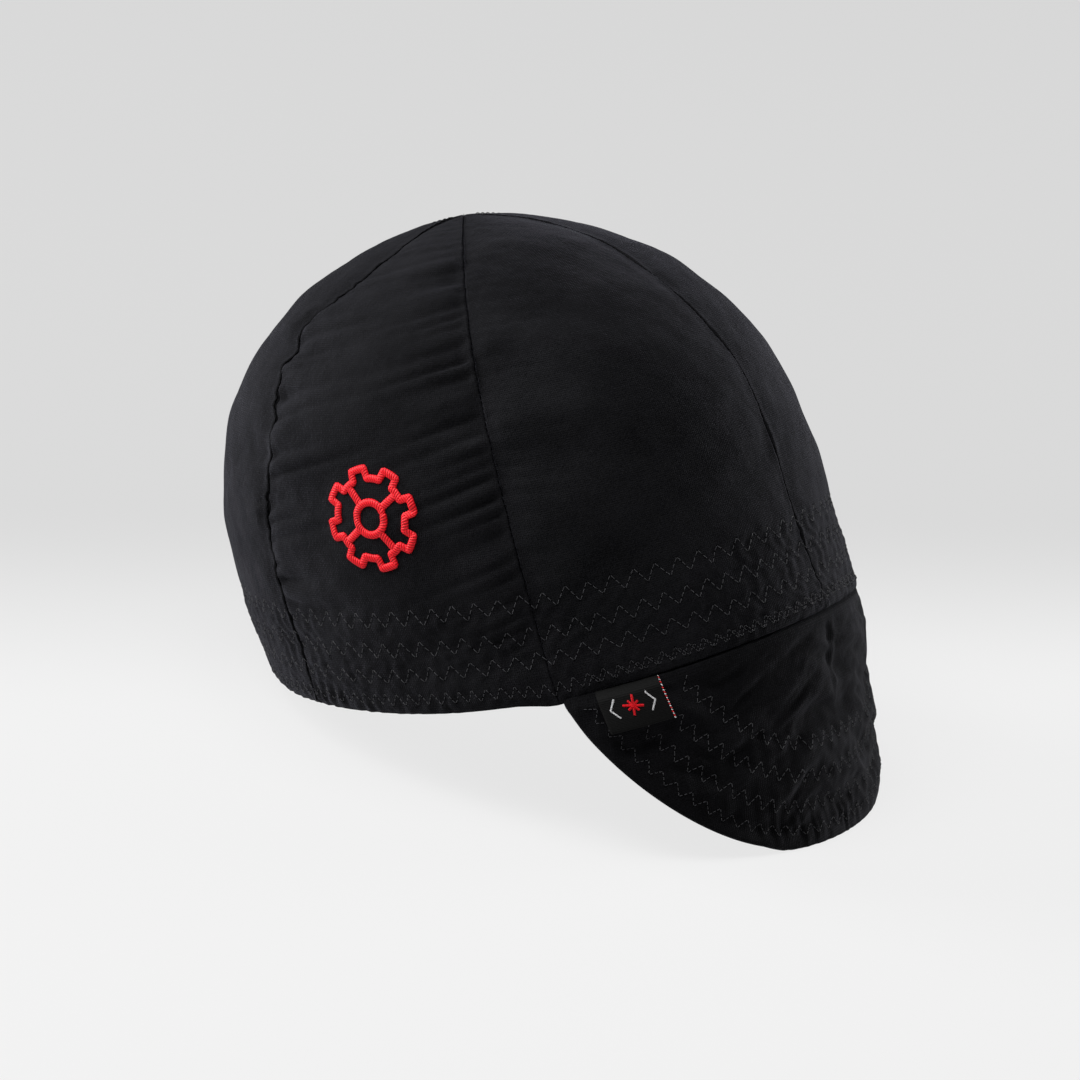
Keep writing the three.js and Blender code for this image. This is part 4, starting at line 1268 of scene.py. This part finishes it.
for number in range(MOTIF_SPOKES):
    turn = pitch / 2 + turned + number * spoke_step
    spoke = np.linspace(on_circle(hub_radius, turn), on_circle(root_radius - 0.4, turn), 20)
    cog_strokes.append((spoke, MOTIF_STROKE, 0.7, SATIN_PITCH))
cog_strokes.append((arc(hub_radius, turned, turned + 2 * np.pi + 0.1), MOTIF_STROKE, 0.9, SATIN_PITCH))


# %% [markdown]
# Embroidery thread is glossy rayon. Its shine comes from many parallel filaments, so it is smoother
# than the sewing thread and has a bright, saturated red. Between two threads the red is painted
# deeper, as painted shade, and on top of each thread it is painted brighter, as a painted highlight.

# %% Red embroidery
# Its dark and bright reds are painted shade between threads and a painted highlight on top of them
red_rayon = thread_material("red_rayon_satin_stitch", "#b00008", "#ff2230", 0.45,
                            specular=0.2, nap=0, satin=True)
cog = embroidered_object("satin_stitch_cog", cog_strokes, on_side_panel, red_rayon)
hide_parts("side_motif")
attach(cog, "root")


# %% [markdown]
# ## The tag
#
# The tag is a piece of woven satin tape, folded double and caught in the seam above the brim. A box
# would lie stiff and straight, so it is a cloth grid laid over the brim's own formula, which hangs
# and curls with it. It is flatter than the cotton. Its woven design is a red spark between two white
# chevrons, and its right edge is overcast in red and white.

# %% Tag cloth
LABEL_WIDTH = 20.5
LABEL_HEIGHT = 13.5
LABEL_THICKNESS = 0.9
LABEL_CLEARANCE = 0.35
LABEL_DROP = 1
LABEL_PLACE = 0.8
LABEL_LEAN = 0.03


def on_label(x, y, height):
    """Point over the tag, x across from its middle and y down from its top edge."""
    down = np.clip(y / LABEL_HEIGHT, -0.2, 1.2)
    centre = LABEL_PLACE - LABEL_LEAN * down
    reach = LABEL_DROP + y
    step = 0.01
    span = brim_outer(centre + step, reach) - brim_outer(centre - step, reach)
    place = centre + x * 2 * step / np.linalg.norm(span, axis=-1)
    base = brim_outer(place, reach) + brim_normal(place, reach) * crease_relief(place, reach)[..., None]
    sag = 0.25 * np.sin(np.pi * np.clip(x / LABEL_WIDTH + 0.5, 0, 1)) * ease(down * 2)
    lift = LABEL_CLEARANCE + LABEL_THICKNESS + sag + 1.5 * ease(down) + height
    return base + brim_normal(place, reach) * lift[..., None]


def satin_tape(name):
    """Woven satin tape: fine ribs across, a little gloss, deep black."""
    material, tree, shader = new_material(name)
    uv = add_node(tree, "ShaderNodeUVMap", {"uv_map": "cloth"}).outputs["UV"]
    rib = add_node(tree, "ShaderNodeTexWave", {
        "bands_direction": "Y", "Scale": 2 * np.pi / 20 * CLOTH_UNIT / 0.5, "Distortion": 0.4,
    }, {"Vector": uv})
    yarn = add_node(tree, "ShaderNodeTexNoise", {"Scale": 190, "Detail": 3}, {"Vector": uv})
    tree.links.new(blend_colours(tree, yarn.outputs["Fac"], "#060606", "#191919"),
                   shader.inputs["Base Color"])
    bump = add_node(tree, "ShaderNodeBump", {"Strength": 0.4, "Distance": 0.00012},
                    {"Height": rib.outputs["Fac"]})
    tree.links.new(bump.outputs["Normal"], shader.inputs["Normal"])
    shader.inputs["Roughness"].default_value = 0.62
    shader.inputs["Specular IOR Level"].default_value = 0.05
    return material


# %% Make the tag
x_line = np.linspace(-0.5, 0.5, 61) * LABEL_WIDTH
y_line = np.linspace(0, 1, 43) * LABEL_HEIGHT
label_x, label_y = np.meshgrid(x_line, y_line)
to_edge = np.minimum(LABEL_WIDTH / 2 - np.abs(label_x), LABEL_HEIGHT - label_y)
inset = edge_inset(to_edge, LABEL_THICKNESS)
label = cloth_object("woven_side_tag", on_label(label_x, label_y, -inset),
                     on_label(label_x, label_y, inset - LABEL_THICKNESS), label_x, label_y,
                     satin_tape("black_woven_satin_tape"))
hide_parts("side_label")
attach(label, "root")


# %% The tag's design
def open_corner(tip, first, last):
    """Two straight strokes that meet at a tip, each a little longer than its line."""
    return [np.linspace(tip - unit(end - tip) * 0.15, end, 12) for end in (first, last)]


design_centre = np.array([0.6, LABEL_HEIGHT * 0.47])
chevron_strokes = []
for side in (-1, 1):
    tip = design_centre + [side * 7, 0]
    ends = design_centre + [side * 4.9, -3], design_centre + [side * 4.9, 3]
    chevron_strokes += [(line, 0.5, 0.14, 0.3) for line in open_corner(tip, *ends)]
spark_strokes = []
for number in range(4):
    turn = 0.55 + number * np.pi / 4
    arm = on_circle(3.2 if number % 2 else 2.2, turn)
    spark_strokes.append((np.linspace(design_centre - arm, design_centre + arm, 12), 0.75, 0.2, 0.3))

# Its grey and bright whites are painted shade between threads and a painted highlight on top of them
white_satin = thread_material("white_rayon_satin_stitch", "#b4b4b8", "#f4f4f4", 0.5,
                              specular=0.2, nap=0, satin=True)
chevrons = embroidered_object("woven_chevrons", chevron_strokes, on_label, white_satin)
spark = embroidered_object("woven_spark", spark_strokes, on_label, red_rayon)
for piece in (chevrons, spark):
    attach(piece, "root")

# %% The tag's overcast edge
OVERCAST_STITCHES = 21

white_thread = thread_material("white_rayon_overcast_thread", "#c9c9cc", "#f0f0f0", 0.5)
red_thread = thread_material("red_rayon_overcast_thread", "#d00a10", "#f8181e", 0.5)

edge_y = np.linspace(0.4, LABEL_HEIGHT - 0.3, OVERCAST_STITCHES)
edge_x = np.full(OVERCAST_STITCHES, 0.15 - LABEL_WIDTH / 2)
level = np.full(OVERCAST_STITCHES, 0.05)
edge_start = on_label(edge_x + 0.35, edge_y - 0.1, level)
edge_end = on_label(edge_x - 0.15, edge_y + 0.35, -level)
edge_normal = brim_normal(np.full(OVERCAST_STITCHES, LABEL_PLACE - 0.1), LABEL_DROP + edge_y)
for name, first, material in (("overcast_white", 0, white_thread), ("overcast_red", 1, red_thread)):
    piece = stitch_object(name, edge_start[first::2], edge_end[first::2], edge_normal[first::2], 0.15,
                          material, corners=6)
    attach(piece, "root")


# %% [markdown]
# ## Camera
#
# The camera could be moved by eye until the outline looks right, but then the cap's own shape would
# hide its errors. So the photograph was matched on the upright cap: the camera stands off the
# wearer's right front, a little above the rim, and is rolled a few degrees. It is turned back with
# the cap, so that it sees the same outline. It aims a little beside the cap's middle, as the picture
# is framed, so it needs no shift.

# %% Place the camera
VIEW_AZIMUTH = 57.63
VIEW_ELEVATION = 8.25
VIEW_ROLL = -8.71
VIEW_DISTANCE = 1400
VIEW_SCALE = 3.065
VIEW_CENTRE = (532.4, 439.5)
FRAME_PIXELS = 1080

azimuth, elevation, roll = np.radians([VIEW_AZIMUTH, VIEW_ELEVATION, VIEW_ROLL])
back = np.array([-np.sin(azimuth) * np.cos(elevation), -np.cos(azimuth) * np.cos(elevation),
                 np.sin(elevation)])
level_right = unit(np.cross([0, 0, 1], back))
level_up = np.cross(back, level_right)
right = np.cos(roll) * level_right + np.sin(roll) * level_up
up = -np.sin(roll) * level_right + np.cos(roll) * level_up
focal = VIEW_SCALE * VIEW_DISTANCE
offset = (FRAME_PIXELS / 2 - VIEW_CENTRE[0], FRAME_PIXELS / 2 - VIEW_CENTRE[1])
aim = unit(-back + right * offset[0] / focal - up * offset[1] / focal)
eye = np.array([0, 0, 70]) + back * VIEW_DISTANCE

lean = np.array([[1, 0, 0], [0, np.cos(REST_TILT), np.sin(REST_TILT)],
                 [0, -np.sin(REST_TILT), np.cos(REST_TILT)]])
eye = lean @ eye + np.array([0, REST_SHIFT, -FLOOR_HEIGHT])
axis_back = lean @ -aim
axis_right = unit(lean @ right - (lean @ right) @ axis_back * axis_back)
axis_up = np.cross(axis_back, axis_right)

camera_data = bpy.data.cameras.new("camera")
camera_data.sensor_width = 36
camera_data.lens = focal / FRAME_PIXELS * camera_data.sensor_width
camera_data.clip_end = 100
camera = bpy.data.objects.new("camera", camera_data)
bpy.context.collection.objects.link(camera)
turn = Matrix((axis_right, axis_up, axis_back)).transposed().to_4x4()
camera.matrix_world = Matrix.Translation(Vector(eye / 1000)) @ turn
bpy.context.scene.camera = camera
print("camera at", (eye / 1000).round(3), "looking down, degrees:",
      round(np.degrees(np.arcsin(axis_back[2])), 1), "lens:", round(camera_data.lens, 1))


# %% [markdown]
# ## Floor and light
#
# A pale seamless floor fills the whole view. Light from all around would leave black cotton as a flat
# dark shape, because only light that grazes it models the folds. So two soft boxes stand behind the
# cap, one hangs overhead and a low one stands off its left front, while the side towards the camera
# stays dark.

# %% Floor
# The paper has a painted glow, as on a light table, so that the shadow under the cap stays soft. Its
# glow and colour are painted brighter in front of the cap than behind it, and the change runs along one level
# direction.
FADE_DIRECTION = (0.626, 0.78)
FADE_FROM, FADE_TO = 0.0, 0.2

FLOOR_HALF, FLOOR_DROP = 12, 0.0002

paper, tree, shader = new_material("white_paper_painted_glow")
place = add_node(tree, "ShaderNodeTexCoord").outputs["Object"]
along = add_node(tree, "ShaderNodeVectorMath", {"operation": "DOT_PRODUCT", 1: (*FADE_DIRECTION, 0)},
                 {0: place})
share = add_node(tree, "ShaderNodeMapRange", {
    "interpolation_type": "SMOOTHSTEP", "From Min": FADE_FROM, "From Max": FADE_TO,
}, {"Value": along.outputs["Value"]}).outputs["Result"]
tree.links.new(blend_colours(tree, share, "#505050", "#323232"), shader.inputs["Base Color"])
tree.links.new(blend_colours(tree, share, "#e4e4e4", "#d4d4d4"), shader.inputs["Emission Color"])
shader.inputs["Emission Strength"].default_value = 1
shader.inputs["Roughness"].default_value = 0.9
shader.inputs["Specular IOR Level"].default_value = 0

corners = np.array([(-1, -1, 0), (1, -1, 0), (1, 1, 0), (-1, 1, 0)]) * FLOOR_HALF - (0, 0, FLOOR_DROP)
floor = add_piece("floor", corners, [(0, 1, 2, 3)], paper)

# %% Lights
world = bpy.data.worlds.new("soft_room")
world.use_nodes = True
world.node_tree.nodes["Background"].inputs["Color"].default_value = colour("#e8eaee")
world.node_tree.nodes["Background"].inputs["Strength"].default_value = 0.04
bpy.context.scene.world = world
bpy.context.scene.view_settings.view_transform = "Standard"

# Where each light stands, in metres, what it points at, its size and its power in watts
lights = [
    {"name": "rear_low", "at": (-0.55, 1.5, 0.66), "size": (0.8, 0.8), "power": 31},
    {"name": "rear_high", "at": (-0.65, 0.46, 1.58), "size": (0.8, 0.8), "power": 19},
    {"name": "overhead", "at": (0, 0, 1.78), "size": (0.8, 0.8), "power": 11},
    {"name": "front_low", "at": (1.44, -0.83, 0.43), "size": (0.8, 0.8), "power": 21},
]
for light in lights:
    data = bpy.data.lights.new(light["name"], "AREA")
    data.shape = "RECTANGLE"
    data.size, data.size_y = light["size"]
    data.energy = light["power"]
    lamp = bpy.data.objects.new(light["name"], data)
    bpy.context.collection.objects.link(lamp)
    lamp.location = light["at"]
    lamp.rotation_euler = (Vector((0, 0, 0.08)) - Vector(light["at"])).to_track_quat("-Z", "Y").to_euler()
